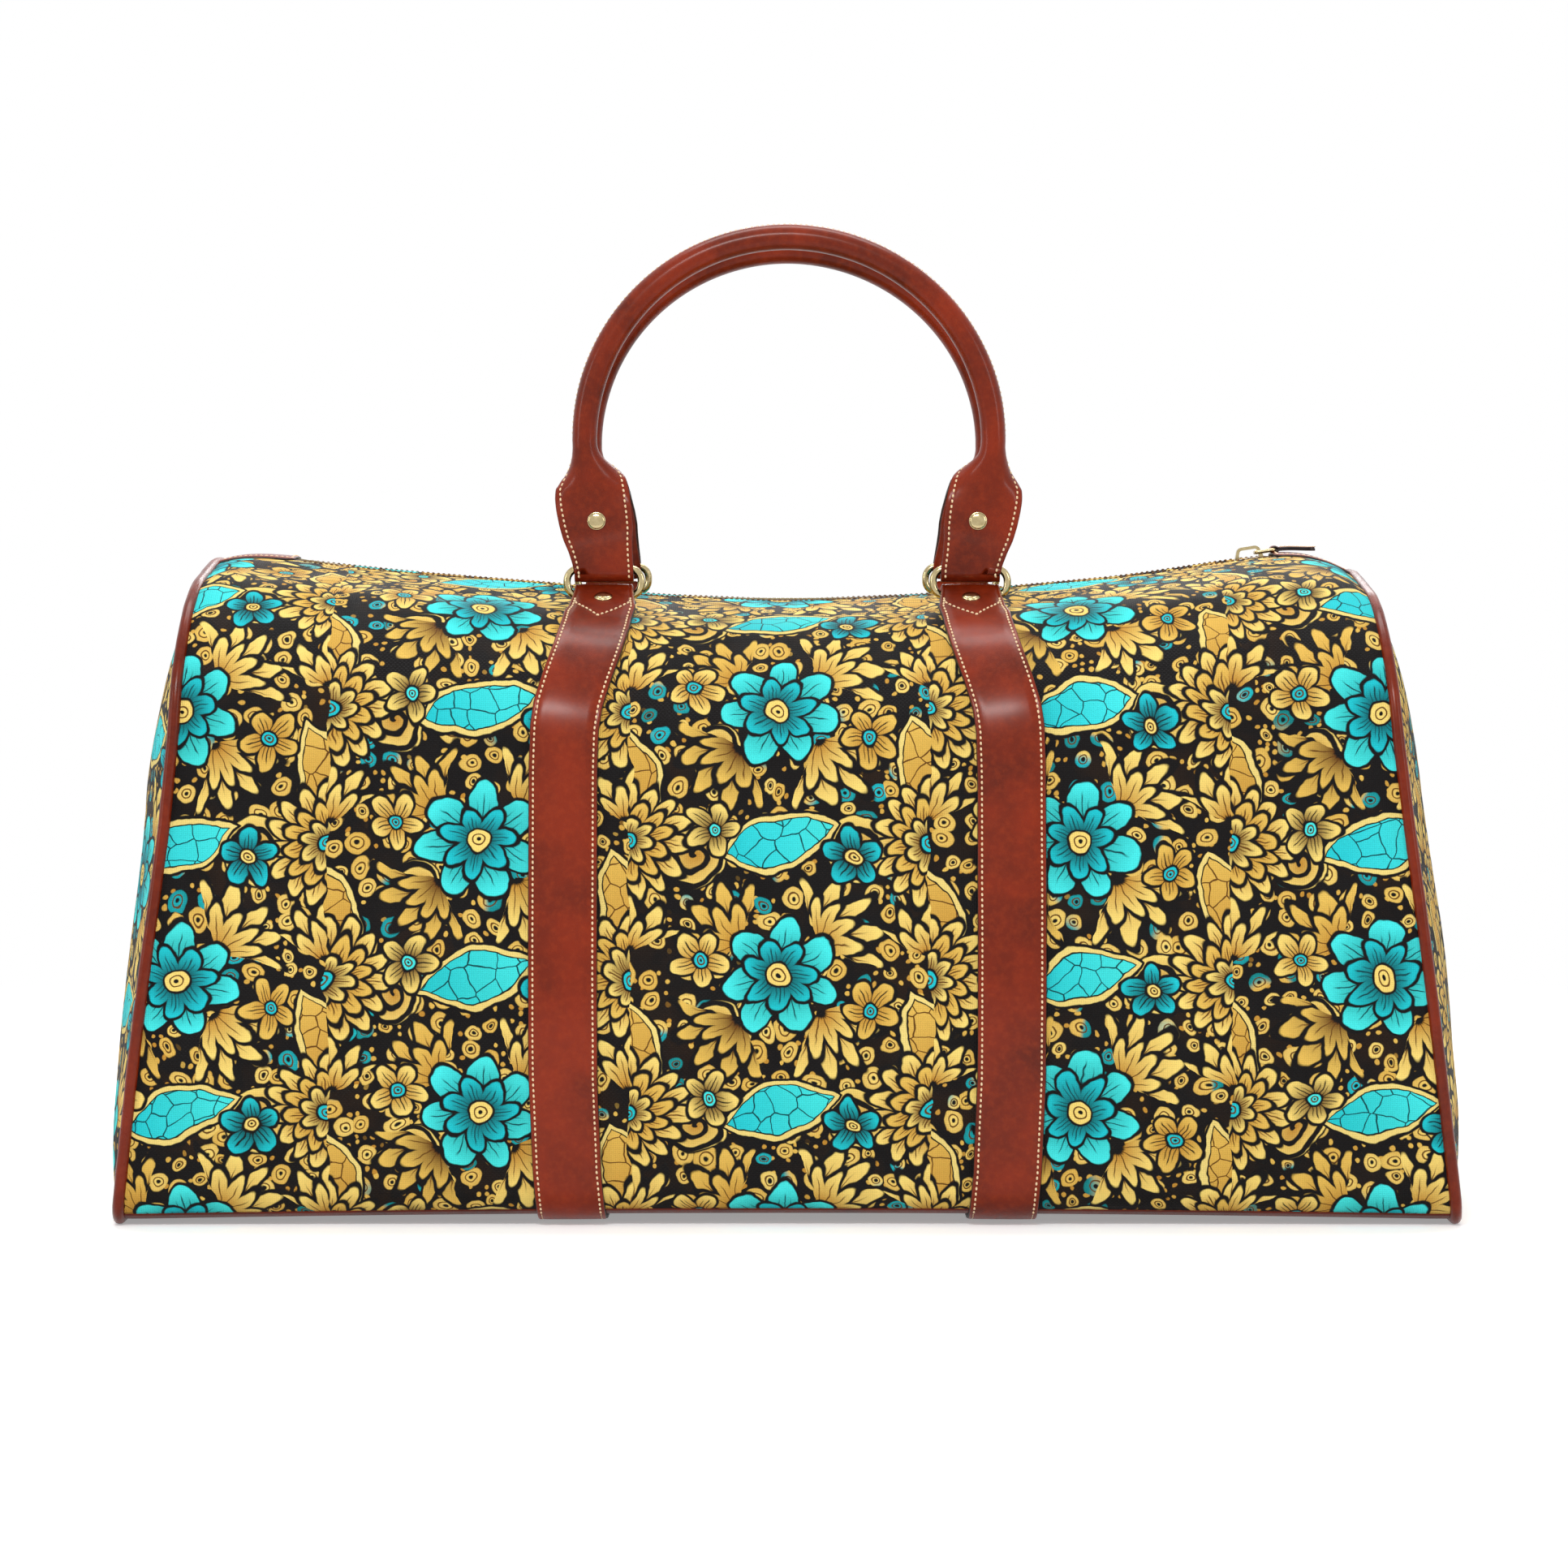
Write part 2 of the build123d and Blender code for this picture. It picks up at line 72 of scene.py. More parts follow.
# straps, rings, handles and studs
STRAP_W = 27.0
STRAP_T = 2.4
STRAP_ANGLE = math.radians(24.2)
LOOP_R = 3.8
LOOP_W = 11.7
STRAP_STUD = 9.0
RING_X = 74.0
RING_Y = 52.0
RING_LOW = 247.725
RING_HIGH = 258.725
RING_HALF = 15.0
RING_CORNER = 4.9
WIRE_R = 1.5
HANDLE_R = 81.7
HANDLE_Z = 310.5
HANDLE_T = 2.2
ROLL_T = 1.9
ROLL_R = 5.2
TWIST = math.radians(58)
FOLD_OUT = 3.9
FOLD_DROP = 5.5
STUD_X = 77.0
STUD_Z = 278.0
STUD_Y = 2.45

FACES = ((-1, "front"), (1, "rear"))
SIDES = ((-1, "left"), (1, "right"))


# ---------------------------------------------------------------- mesh helpers
def make_mesh(name, verts, faces, materials, uv=None, face_mats=None):
    """A mesh object from points in millimetres. uv holds one pair per vertex."""
    mesh = bpy.data.meshes.new(name)
    mesh.from_pydata((np.asarray(verts, float) * MM).tolist(), [], [list(map(int, f)) for f in faces])
    for m in materials:
        mesh.materials.append(m)
    if face_mats is not None:
        mesh.polygons.foreach_set("material_index", np.asarray(face_mats, np.int32))
    mesh.polygons.foreach_set("use_smooth", np.full(len(mesh.polygons), True))
    if uv is not None:
        layer = mesh.uv_layers.new(name="UVMap")
        loops = np.zeros(len(mesh.loops), np.int32)
        mesh.loops.foreach_get("vertex_index", loops)
        layer.data.foreach_set("uv", np.asarray(uv, np.float32)[loops].ravel())
    mesh.update()
    obj = bpy.data.objects.new(name, mesh)
    bpy.context.scene.collection.objects.link(obj)
    return obj


def attach(obj, body_name, node):
    """Lets a piece ride with a body, and take the place of a node of the frame."""
    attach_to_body(obj, body_name)
    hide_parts(node)


def fix_normals(obj):
    bm = bmesh.new()
    bm.from_mesh(obj.data)
    bmesh.ops.recalc_face_normals(bm, faces=bm.faces)
    bm.to_mesh(obj.data)
    bm.free()


def quads(rows, cols, wrap_cols=False, wrap_rows=False, flip=False):
    """Faces of a grid of points, row after row."""
    r = np.arange(rows - (0 if wrap_rows else 1))[:, None]
    c = np.arange(cols - (0 if wrap_cols else 1))[None, :]
    r2, c2 = (r + 1) % rows, (c + 1) % cols
    f = np.stack([r * cols + c, r * cols + c2, r2 * cols + c2, r2 * cols + c], -1).reshape(-1, 4)
    return f[:, ::-1] if flip else f


def unit(v):
    v = np.asarray(v, float)
    return v / np.maximum(np.linalg.norm(v, axis=-1, keepdims=True), 1e-9)


def smooth_step(t):
    t = np.clip(t, 0.0, 1.0)
    return t * t * (3 - 2 * t)


def wave(x, y, seed=0.0):
    """Soft noise from -1 to 1 at one point."""
    return noise.noise(Vector((x, y, seed)))


def wave_grid(x, y, seed=0.0):
    """Soft noise over two arrays."""
    flat = [wave(a, b, seed) for a, b in zip(np.ravel(x), np.ravel(y))]
    return np.array(flat).reshape(np.shape(x))


def merge(parts):
    """Joins (verts, faces, mats) lists into one."""
    verts, faces, mats, shift = [], [], [], 0
    for v, f, m in parts:
        verts.append(np.asarray(v, float))
        faces.extend([[int(i) + shift for i in q] for q in f])
        mats.extend(list(m) if hasattr(m, "__len__") else [m] * len(f))
        shift += len(v)
    return np.concatenate(verts), faces, mats


def resample(points, step):
    """Points along a line at an even step, their distances along it and those of the given points."""
    points = np.asarray(points, float)
    seg = np.linalg.norm(np.diff(points, axis=0), axis=1)
    s = np.concatenate([[0], np.cumsum(seg)])
    count = max(2, int(round(s[-1] / step)) + 1)
    at = np.linspace(0, s[-1], count)
    out = np.stack([np.interp(at, s, points[:, k]) for k in range(3)], 1)
    return out, at, s


# ---------------------------------------------------------------- bag surface
crest_x = np.array([
    -262, -250, -240, -233, -226, -218, -208, -192, -158, -125, -94, -75, -57, 0,
    57, 75, 94, 111, 138, 162, 185, 199, 212, 220, 227, 233, 240, 250, 262.0,
])
crest_v = np.array([
    249, 254, 259.0, 262.2, 263.4, 263.6, 263.0, 261.1, 257.5, 254.8, 252.4, 250.3, 248, 245.6,
    248, 249.6, 251.4, 252.9, 255.4, 258.8, 262.4, 264, 264.4, 262.4, 259.4, 255.8, 252, 247.5, 243.0,
])
# rounded off by a bell-shaped kernel
crest_grid = np.arange(-290.0, 291.0, 1.0)
crest_line = np.interp(crest_grid, crest_x, crest_v)
kernel = np.exp(-0.5 * (np.arange(-24, 25) / 6.0) ** 2)
crest_line = np.convolve(np.pad(crest_line, 24, mode="edge"), kernel / kernel.sum(), mode="valid")


def crest(x):
    """Height of the top of the bag along the zip."""
    return np.interp(x, crest_grid, crest_line)


def arc_points(b, a, c, radius):
    """Fillet of the corner b between a and c: centre, start and end points."""
    u, v = unit(np.subtract(a, b)), unit(np.subtract(c, b))
    half = math.acos(max(-1.0, min(1.0, float(u @ v)))) / 2
    d = radius / math.tan(half)
    centre = np.asarray(b) + unit(u + v) * radius / math.sin(half)
    return centre, np.asarray(b) + u * d, np.asarray(b) + v * d


def arc_sample(centre, start, end, radius, n):
    """Points of a clockwise arc, without its first."""
    a0 = math.atan2(start[1] - centre[1], start[0] - centre[0])
    a1 = math.atan2(end[1] - centre[1], end[0] - centre[0])
    while a1 > a0:
        a1 -= 2 * math.pi
    t = np.linspace(a0, a1, n + 1)[1:]
    return np.stack([centre[0] + radius * np.cos(t), centre[1] + radius * np.sin(t)], 1)


# points in each stretch of the section, from the zip's slot to the middle of the base
COUNTS = [6, 7, 20, 26, 18, 14, 16, 7, 6, 16]
SLOT_ROW = COUNTS[0]
SEAM_ROW = sum(COUNTS[:8])


def section(top):
    """Half of the bag's cross-section as points (y, z), from the zip to the middle of the base."""
    peak = top + RISE
    shoulder = peak - SHOULDER_DEPTH * math.tan(TOP_SLOPE)
    corners = [
        (-SHOULDER_DEPTH, shoulder), (0, peak), (SHOULDER_DEPTH, shoulder),
        (BELLY_DEPTH, BELLY_Z), (BASE_DEPTH, BASE_Z), (-BASE_DEPTH, BASE_Z),
    ]
    c, _, last = arc_points(corners[1], corners[0], corners[2], TOP_R)
    slot, top = np.linspace(0, SLOT_Y, COUNTS[0] + 1), np.linspace(SLOT_Y, last[0], COUNTS[1] + 1)
    y = np.concatenate([slot, top[1:]])
    pts = [np.stack([y, c[1] + np.sqrt(TOP_R ** 2 - y ** 2)], 1)]
    for i, radius in ((2, SHOULDER_R), (3, BELLY_R)):
        c, s, e = arc_points(corners[i], corners[i - 1], corners[i + 1], radius)
        pts.append(np.linspace(last, s, COUNTS[2 * i - 2] + 1)[1:])
        pts.append(arc_sample(c, s, e, radius, COUNTS[2 * i - 1]))
        last = e
    c, s, e = arc_points(corners[4], corners[3], corners[5], FOOT_R)
    pts.append(np.linspace(last, s, COUNTS[6] + 1)[1:])
    seam_a = math.asin((SEAM_Z - c[1]) / FOOT_R)
    seam = np.array([c[0] + FOOT_R * math.cos(seam_a), SEAM_Z])
    pts.append(arc_sample(c, s, seam, FOOT_R, COUNTS[7]))
    pts.append(arc_sample(c, seam, e, FOOT_R, COUNTS[8]))
    pts.append(np.linspace(e, (0, BASE_Z), COUNTS[9] + 1)[1:])
    return np.concatenate(pts)


def lean_at(foot):
    return SLANT * smooth_step((abs(foot) - LEAN_FROM) / (BASE_HALF - LEAN_FROM))


# how far the filled ends stand out from their plain lean, by height
swell_z = [0.0, 60.0, 120.0, 157.0, 193.0, 217.0, 242.0, 270.0]
swell_v = {
    -1.0: [0.0, 0.6, 0.4, 0.4, 1.7, 3.5, 4.6, 5.0],
    1.0: [0.0, 0.0, 0.0, 0.0, 0.4, 1.4, 2.0, 2.0],
}


def station(foot):
    """Points of the half section whose plane stands on x = foot, leaning as the ends do."""
    side = 1.0 if foot > 0 else -1.0
    lean = float(lean_at(foot))
    swell = float(smooth_step((abs(foot) - SWELL_FROM) / (BASE_HALF - SWELL_FROM)))
    x_top = foot
    for _ in range(4):
        z_top = float(crest(x_top))
        x_top = foot - side * (z_top * math.tan(lean) - swell * np.interp(z_top, swell_z, swell_v[side]))
    yz = section(z_top / math.cos(lean))
    z = yz[:, 1] * math.cos(lean)
    x = foot - side * (yz[:, 1] * math.sin(lean) - swell * np.interp(z, swell_z, swell_v[side]))
    return np.stack([x, yz[:, 0], z], 1)


def body_grid(feet):
    """Points (rows, cols, 3) of one half, with y > 0: rows run down the section, columns along the bag."""
    return np.stack([station(f) for f in feet], 1)


def grid_normals(p):
    dr = np.gradient(p, axis=0)
    dc = np.gradient(p, axis=1)
    return unit(np.cross(dc, dr))


def relief(x, z, down, inset, seed):
    """How far the filled cloth stands out from the plain form, in mm.
    down is the distance from the zip's edge and inset the distance from the end seam."""
    wide = wave_grid(x / 105.0, down / 85.0, 3.1 + seed)
    small = wave_grid(x / 42.0, down / 70.0, 11.7 + seed)
    folds = wave_grid(x / 26.0 + down / 210.0, down / 150.0, 21.3 + seed)
    seam_folds = wave_grid(down / 17.0, x / 60.0, 31.9 + seed)
    edge = smooth_step((inset - 2.0) / 30.0)
    tuck = np.exp(-((np.abs(np.abs(x) - 88.0) - 14.0) / 9.0) ** 2)
    puff = smooth_step(inset / 9.0) * np.exp(-((inset - 9.0) / 16.0) ** 2)
    top = smooth_step(1.0 - np.abs(down - 95.0) / 60.0)
    base_fade = smooth_step(down / 16.0) * smooth_step((z - 6.0) / 26.0)
    out = 1.7 * wide + 0.8 * small + 0.55 * folds * (0.5 + top)
    out = out * edge - 0.35 * tuck + puff * (1.3 + 0.55 * seam_folds)
    return out * base_fade


def lift_base(p):
    """The middle of the base seam sits a little higher than its ends."""
    rise = BASE_LIFT * np.clip(1 - (p[..., 0] / 255.0) ** 2, 0, 1)
    rise = rise * np.exp(-np.clip(p[..., 2] - BASE_Z, 0, None) / 22.0)
    rise = rise * smooth_step((np.abs(p[..., 1]) - 88.0) / 22.0)
    q = p.copy()
    q[..., 2] += rise
    return q


def dressed(p, feet, seed):
    """The body grid with its soft relief."""
    n = grid_normals(p)
    step = np.linalg.norm(np.diff(p, axis=0), axis=2)
    down = np.concatenate([np.zeros((1, p.shape[1])), np.cumsum(step, 0)], 0) - SLOT_Y
    inset = np.broadcast_to(BASE_HALF - np.abs(feet), down.shape)
    out = relief(p[..., 0], p[..., 2], down, inset, seed)
    keep = np.ones(p.shape[0])
    keep[: SLOT_ROW + 1] = 0
    keep[SEAM_ROW:] = 0
    return lift_base(p + n * (out * keep[:, None])[..., None]), down


def mirror_y(p, face):
    q = np.array(p, float)
    q[..., 1] *= face
    return q


def both_faces(half):
    """A row of points or grid on the front, and back again over the rear."""
    return np.concatenate([mirror_y(half, -1), mirror_y(half, 1)[::-1][1:]])


# stations along the bag, closer where the ends lean
MIDDLE_HALF = 200.0
feet = np.concatenate([
    np.linspace(-BASE_HALF, -MIDDLE_HALF, 26)[:-1],
    np.linspace(-MIDDLE_HALF, MIDDLE_HALF, 141),
    np.linspace(MIDDLE_HALF, BASE_HALF, 26)[1:],
])
RELIEF_SEED = {-1: 0.0, 1: 40.0}
body = body_grid(feet)
body_normals = grid_normals(body)
surface = {face: dressed(body, feet, RELIEF_SEED[face]) for face in (-1, 1)}

# ---------------------------------------------------------------- materials
class Field:
    """An output in a node tree, so that a shader can be written as a formula."""

    def __init__(self, tree, socket):
        self.tree, self.socket = tree, socket

    def __add__(self, other): return self.tree.math("ADD", self, other)
    def __sub__(self, other): return self.tree.math("SUBTRACT", self, other)
    def __rsub__(self, other): return self.tree.math("SUBTRACT", other, self)
    def __mul__(self, other): return self.tree.math("MULTIPLY", self, other)
    def __abs__(self): return self.tree.math("ABSOLUTE", self)


class Tree:
    """Shorthand for building a node tree: each call adds one node and gives its output."""

    def __init__(self, tree):
        self.tree = tree
        self.count = 0

    def node(self, kind, *values, **settings):
        """A new node with its settings, and with values for its first inputs."""
        n = self.tree.nodes.new(kind)
        self.count += 1
        n.location = (180 * (self.count % 24), -160 * (self.count // 24))
        for name, value in settings.items():
            setattr(n, name, value)
        for socket, value in zip(n.inputs, values):
            self.put(socket, value)
        return n

    def put(self, socket, value):
        if isinstance(value, Field):
            self.tree.links.new(value.socket, socket)
        else:
            socket.default_value = value

    def out(self, n, key=0):
        return Field(self, n.outputs[key])

    def named(self, kind, inputs, **settings):
        """A new node with values for the inputs that are named."""
        n = self.node(kind, **settings)
        for name, value in inputs.items():
            self.put(n.inputs[name], value)
        return n

    def math(self, operation, *values, clamp=False):
        return self.out(self.node("ShaderNodeMath", *values, operation=operation, use_clamp=clamp))

    def root(self, a):
        return self.math("SQRT", a)

    def wrap(self, a, size):
        """Repeats a from -size/2 to size/2."""
        return self.math("WRAP", a, size / 2, -size / 2)

    def below(self, a, edge, soft):
        """1 where a is under edge, 0 where it is over, with a soft step."""
        values = (a, edge - soft, edge + soft, 1.0, 0.0)
        return self.out(self.node("ShaderNodeMapRange", *values, interpolation_type="SMOOTHSTEP"))

    def between(self, a, low, high, to_low=0.0, to_high=1.0):
        return self.out(self.node("ShaderNodeMapRange", a, low, high, to_low, to_high))

    def mix(self, share, a, b, blend="MIX"):
        n = self.node("ShaderNodeMix", share, data_type="RGBA", blend_type=blend)
        self.put(n.inputs[6], a)
        self.put(n.inputs[7], b)
        return self.out(n, 2)

    def split(self, v):
        n = self.node("ShaderNodeSeparateXYZ", v)
        return [self.out(n, k) for k in range(3)]

    def split_colour(self, v):
        n = self.node("ShaderNodeSeparateColor", v)
        return [self.out(n, k) for k in range(3)]

    def in_mm(self, vector):
        n = self.named("ShaderNodeVectorMath", {"Scale": 1000.0}, operation="SCALE")
        self.put(n.inputs[0], vector)
        return self.out(n)

    def object_mm(self):
        """Object coordinates in millimetres."""
        return self.in_mm(self.out(self.node("ShaderNodeTexCoord"), "Object"))

    def noise(self, vector, scale, detail=2.0, rough=0.5, output=0):
        inputs = {"Vector": vector, "Scale": scale, "Detail": detail, "Roughness": rough}
        return self.out(self.named("ShaderNodeTexNoise", inputs), output)

    def voronoi(self, vector, scale, feature="F1", random=1.0, dims="3D"):
        """Distance in a pattern of cells, and for F1 the cell's colour."""
        inputs = {"Vector": vector, "Scale": scale, "Randomness": random}
        n = self.named("ShaderNodeTexVoronoi", inputs, feature=feature, voronoi_dimensions=dims)
        return [self.out(n, key) for key in ("Distance", "Color") if key in n.outputs]

    def bump(self, height, distance, strength):
        inputs = {"Strength": strength, "Distance": distance, "Height": height}
        return self.out(self.named("ShaderNodeBump", inputs))

    def shade(self, **sockets):
        """Sets or links sockets of the tree's shader."""
        shader = self.tree.nodes["Principled BSDF"]
        for name, value in sockets.items():
            self.put(shader.inputs[name.replace("_", " ")], value)


def rgb(r, g, b):
    """Linear colour of an sRGB one given from 0 to 255."""
    def lin(v):
        v /= 255.0
        return v / 12.92 if v <= 0.04045 else ((v + 0.055) / 1.055) ** 2.4
    return (lin(r), lin(g), lin(b), 1.0)


def new_material(name, **sockets):
    """A material, and its tree with the shader's constant sockets set."""
    mat = bpy.data.materials.new(name)
    mat.use_nodes = True
    t = Tree(mat.node_tree)
    t.shade(**sockets)
    return mat, t


BLACK = rgb(12, 9, 9)
GOLD_LIGHT = rgb(246, 217, 120)
GOLD = rgb(229, 189, 90)
GOLD_DEEP = rgb(188, 134, 48)
BROWN = rgb(96, 58, 18)
TURQ_LIGHT = rgb(70, 232, 232)
TURQ = rgb(28, 196, 208)
TEAL = rgb(18, 140, 142)
DEEP_TEAL = rgb(8, 62, 68)
RIM = rgb(238, 214, 128)


def petals(t, x, y, count, phase, middle, half_length, half_width):
    """A ring of oval petals round the origin: distance share (1 at a petal's edge),
    place along a petal from -1 to 1, place across it in mm, distance from the origin."""
    local = t.wrap(t.math("ARCTAN2", y, x) + phase, 2 * math.pi / count)
    r = t.root(x * x + y * y)
    along = (r * t.math("COSINE", local) - middle) * (1 / half_length)
    across = r * t.math("SINE", local)
    share = across * (1 / half_width)
    return t.root(along * along + share * share), along, across, r


def leaf(t, x, y, turn, half_length, half_width):
    """A pointed leaf round the origin: distance in mm outside its edge, and place along it from -1 to 1."""
    along = x * math.cos(turn) + y * math.sin(turn)
    across = y * math.cos(turn) - x * math.sin(turn)
    share = along * (1 / half_length)
    return abs(across) - (1.0 - share * share) * half_width, share


def lay(t, base, shape, outline, colour):
    """Paints one motif over what is there, with a dark line round it."""
    return t.mix(shape, t.mix(outline, base, BLACK), colour)


def printed_colour(t, uv_mm):
    """The print: flowers, leaves and beads on a black ground, from plain shapes."""
    # the whole pattern wanders a little, so that no two motifs come out the same
    x, z, _ = t.split(uv_mm)
    wide = t.split_colour(t.noise(uv_mm, 0.045, 1.0, output=1))
    fine = t.split_colour(t.noise(uv_mm, 0.22, 1.0, output=1))
    px = x + ((wide[0] - 0.5) * 9.0 + (fine[0] - 0.5) * 1.5)
    pz = z + ((wide[1] - 0.5) * 9.0 + (fine[1] - 0.5) * 1.5)
    joined = t.out(t.node("ShaderNodeCombineXYZ", px, pz, 0.0))
    place = t.out(t.named("ShaderNodeMapping", {"Vector": joined, "Location": (3.0, 5.0, 0.0)}))
    px, pz, _ = t.split(place)

    # cells of motifs, every second column half a cell off
    cell_w, cell_h = 118.0, 106.0
    column = t.math("FLOOR", (px + cell_w / 2) * (1 / cell_w))
    pz = pz + t.math("FLOORED_MODULO", column, 2.0) * (cell_h / 2)

    def cell(ox, oz):
        return t.wrap(px - ox, cell_w), t.wrap(pz - oz, cell_h)

    # ground with a faint brown mottling
    colour = t.mix(t.between(t.noise(place, 0.03, 3.0), 0.5, 0.8), BLACK, rgb(40, 24, 10))

    # beads: rings with dark middles, gold or teal by zone
    bead_pitch = 10.4
    dist, tone = t.voronoi(place, 1 / bead_pitch, random=0.6, dims="2D")
    dist, pick = dist * bead_pitch, t.split_colour(tone)
    teal_zone = t.below(pick[1] * 0.35 + t.noise(uv_mm, 0.022, 1.0), 0.53, 0.02)
    bead = t.mix(teal_zone, t.mix(pick[0], GOLD, GOLD_LIGHT), t.mix(pick[0], TEAL, TURQ))
    size = t.between(pick[2], 0, 1, 2.6, 4.3)
    bead = t.mix(t.between(dist, 1.0, 4.6) * 0.45, bead, t.mix(teal_zone, GOLD_DEEP, DEEP_TEAL))
    bead = t.mix(t.below(abs(dist - size * 0.52), 0.26, 0.16), bead, BROWN)
    bead = t.mix(t.below(dist, 0.85, 0.25), bead, BLACK)
    # dots between the beads
    dot_pitch = 3.4
    dot, tone = t.voronoi(place, 1 / dot_pitch, random=0.8, dims="2D")
    dot_pick = t.split_colour(tone)
    dots = t.below(dot * dot_pitch, 0.95, 0.2) * t.below(dot_pick[0], 0.26, 0.02)
    colour = t.mix(dots, colour, t.mix(dot_pick[1], GOLD_DEEP, GOLD))
    colour = t.mix(t.below(dist - size, 0.0, 0.25), colour, bead)

    # curls: short spirals in gold
    for ox, oz, reach, pitch, hand, phase in (
        (31, 50, 13.5, 6.0, 1, 0.4), (-33, 47, 12.5, 5.6, -1, 2.1), (-24, -17, 10.0, 4.8, 1, 3.0),
    ):
        x, y = cell(ox, oz)
        r = t.root(x * x + y * y)
        turn = (t.math("ARCTAN2", y, x) + phase) * (hand / (2 * math.pi))
        band = abs(t.math("FRACT", r * (1 / pitch) - turn + 8.0) - 0.5) * pitch
        colour = t.mix(t.below(r, reach, 0.3), colour, BLACK)
        stroke = t.below(band, pitch * 0.30, 0.25) * t.below(r, reach - 0.8, 0.3)
        colour = t.mix(stroke, colour, t.mix(t.between(r, 0, reach), GOLD_DEEP, GOLD_LIGHT))

    # fans of round-tipped petals, one row over another
    fan_reach, far = 1.1, 40.0
    for ox, oz, turn, count, half_length, half_width, light, dark in (
        (15, 12, 0.75, 12, 11.5, 3.3, GOLD_LIGHT, GOLD_DEEP),
        (-15, 12, 2.45, 12, 11.0, 3.3, GOLD, GOLD_DEEP),
        (14, -14, -0.8, 12, 11.5, 3.3, GOLD_LIGHT, GOLD_DEEP),
        (-15, -15, 3.95, 12, 11.0, 3.3, GOLD, BROWN),
        (59, 8, 1.55, 11, 9.5, 3.0, GOLD_LIGHT, GOLD_DEEP),
    ):
        x, y = cell(ox, oz)
        angle = t.math("ARCTAN2", y, x)
        r = t.root(x * x + y * y)
        away = t.wrap(angle - turn, 2 * math.pi)
        beyond = t.below(abs(away), fan_reach, 0.01) * -far
        sector = 2 * math.pi / count
        for size, offset in ((1.0, 0.0), (0.62, sector / 2)):
            length, width = half_length * size, half_width * (0.35 + 0.65 * size)
            local = t.wrap(angle - (turn + offset), sector)
            along = (r * t.math("COSINE", local) - (length + 3.0)) * (1 / length)
            across = r * t.math("SINE", local)
            share = across * (1 / width)
            d = (t.root(along * along + share * share) - 1.0) * width + (beyond + far)
            tone = t.mix(t.between(along, -1, 0.8), dark, light)
            tone = t.mix(t.below(abs(across), 0.2, 0.14) * t.below(along, 0.3, 0.3), tone, BROWN)
            colour = lay(t, colour, t.below(d, 0.0, 0.22), t.below(d, 1.25, 0.25), tone)

    # large drops with a crackled face and a cream-gold rim, one turquoise and one gold
    rim = 2.3
    for ox, oz, turn, low, high, line in (
        (0, 53, 0.25, TURQ, TURQ_LIGHT, DEEP_TEAL), (59, -27, 1.9, GOLD_DEEP, GOLD, BROWN),
    ):
        d, share = leaf(t, *cell(ox, oz), turn, 24.0, 11.5)
        crack = t.voronoi(place, 1 / 8.5, feature="DISTANCE_TO_EDGE", random=0.85, dims="2D")[0]
        face = t.mix(t.below(crack, 0.028, 0.014), t.mix(t.between(share, -1, 1), low, high), line)
        tone = t.mix(t.below(d, -rim, 0.2), RIM, face)
        tone = t.mix(t.below(abs(d + rim), 0.28, 0.14), tone, BLACK)
        colour = lay(t, colour, t.below(d, 0.0, 0.22), t.below(d, 1.4, 0.25), tone)

    def flower(colour, ox, oz, rings, heart, heart_colour, spin):
        x, y = cell(ox, oz)
        for count, phase, middle, half_length, half_width, tip, root, vein in rings:
            d, along, across, r = petals(t, x, y, count, phase + spin, middle, half_length, half_width)
            tone = t.mix(t.between(along, -1, 0.75), root, tip)
            tone = t.mix(t.below(abs(across), 0.24, 0.16) * t.below(along, 0.45, 0.2), tone, vein)
            side = t.below(abs(abs(across) - half_width * 0.42), 0.20, 0.14)
            tone = t.mix(side * t.below(along, 0.1, 0.25) * 0.8, tone, vein)
            soft = 0.24 / half_width
            colour = lay(t, colour, t.below(d, 1.0, soft), t.below(d, 1.0 + 1.15 / half_width, soft), tone)
        centre = t.mix(t.below(abs(r - heart * 0.55), 0.3, 0.15), heart_colour, BROWN)
        centre = t.mix(t.below(r, heart * 0.2, 0.2), centre, BLACK)
        return lay(t, colour, t.below(r, heart, 0.22), t.below(r, heart + 0.9, 0.25), centre)

    # flowers: broad turquoise ones, full gold ones, and small ones between
    colour = flower(colour, 0, 0, [
        (7, 0.0, 15.0, 8.4, 5.9, TURQ_LIGHT, TEAL, DEEP_TEAL),
        (7, 0.45, 9.0, 5.6, 3.6, TURQ, DEEP_TEAL, DEEP_TEAL),
    ], 4.6, GOLD_LIGHT, 0.3)
    colour = flower(colour, 59, 53, [
        (15, 0.0, 17.5, 6.4, 3.1, GOLD_LIGHT, GOLD_DEEP, BROWN),
        (12, 0.25, 11.6, 5.2, 2.7, GOLD, GOLD_DEEP, BROWN),
        (8, 0.1, 6.4, 3.6, 2.3, GOLD_LIGHT, BROWN, BROWN),
    ], 3.1, TURQ, 0.1)
    for ox, oz, spin, tip, root, heart in (
        (28, 47, 0.9, TURQ, DEEP_TEAL, GOLD_LIGHT), (-32, 8, 0.2, GOLD_LIGHT, GOLD_DEEP, TURQ),
        (36, -12, 0.5, GOLD, GOLD_DEEP, TURQ), (-27, -48, 1.3, GOLD_LIGHT, BROWN, TURQ_LIGHT),
    ):
        colour = flower(colour, ox, oz, [(5, 0.0, 7.0, 4.6, 3.5, tip, root, BLACK)], 2.6, heart, spin)

    # the print is multiplied by a cream colour, up to a fifth, in large soft patches laid out by noise
    cream_patches = t.between(t.noise(uv_mm, 0.018, 2.0), 0.35, 0.7, 0.0, 0.2)
    return t.mix(cream_patches, colour, t.mix(1.0, colour, rgb(214, 186, 140), "MULTIPLY"))


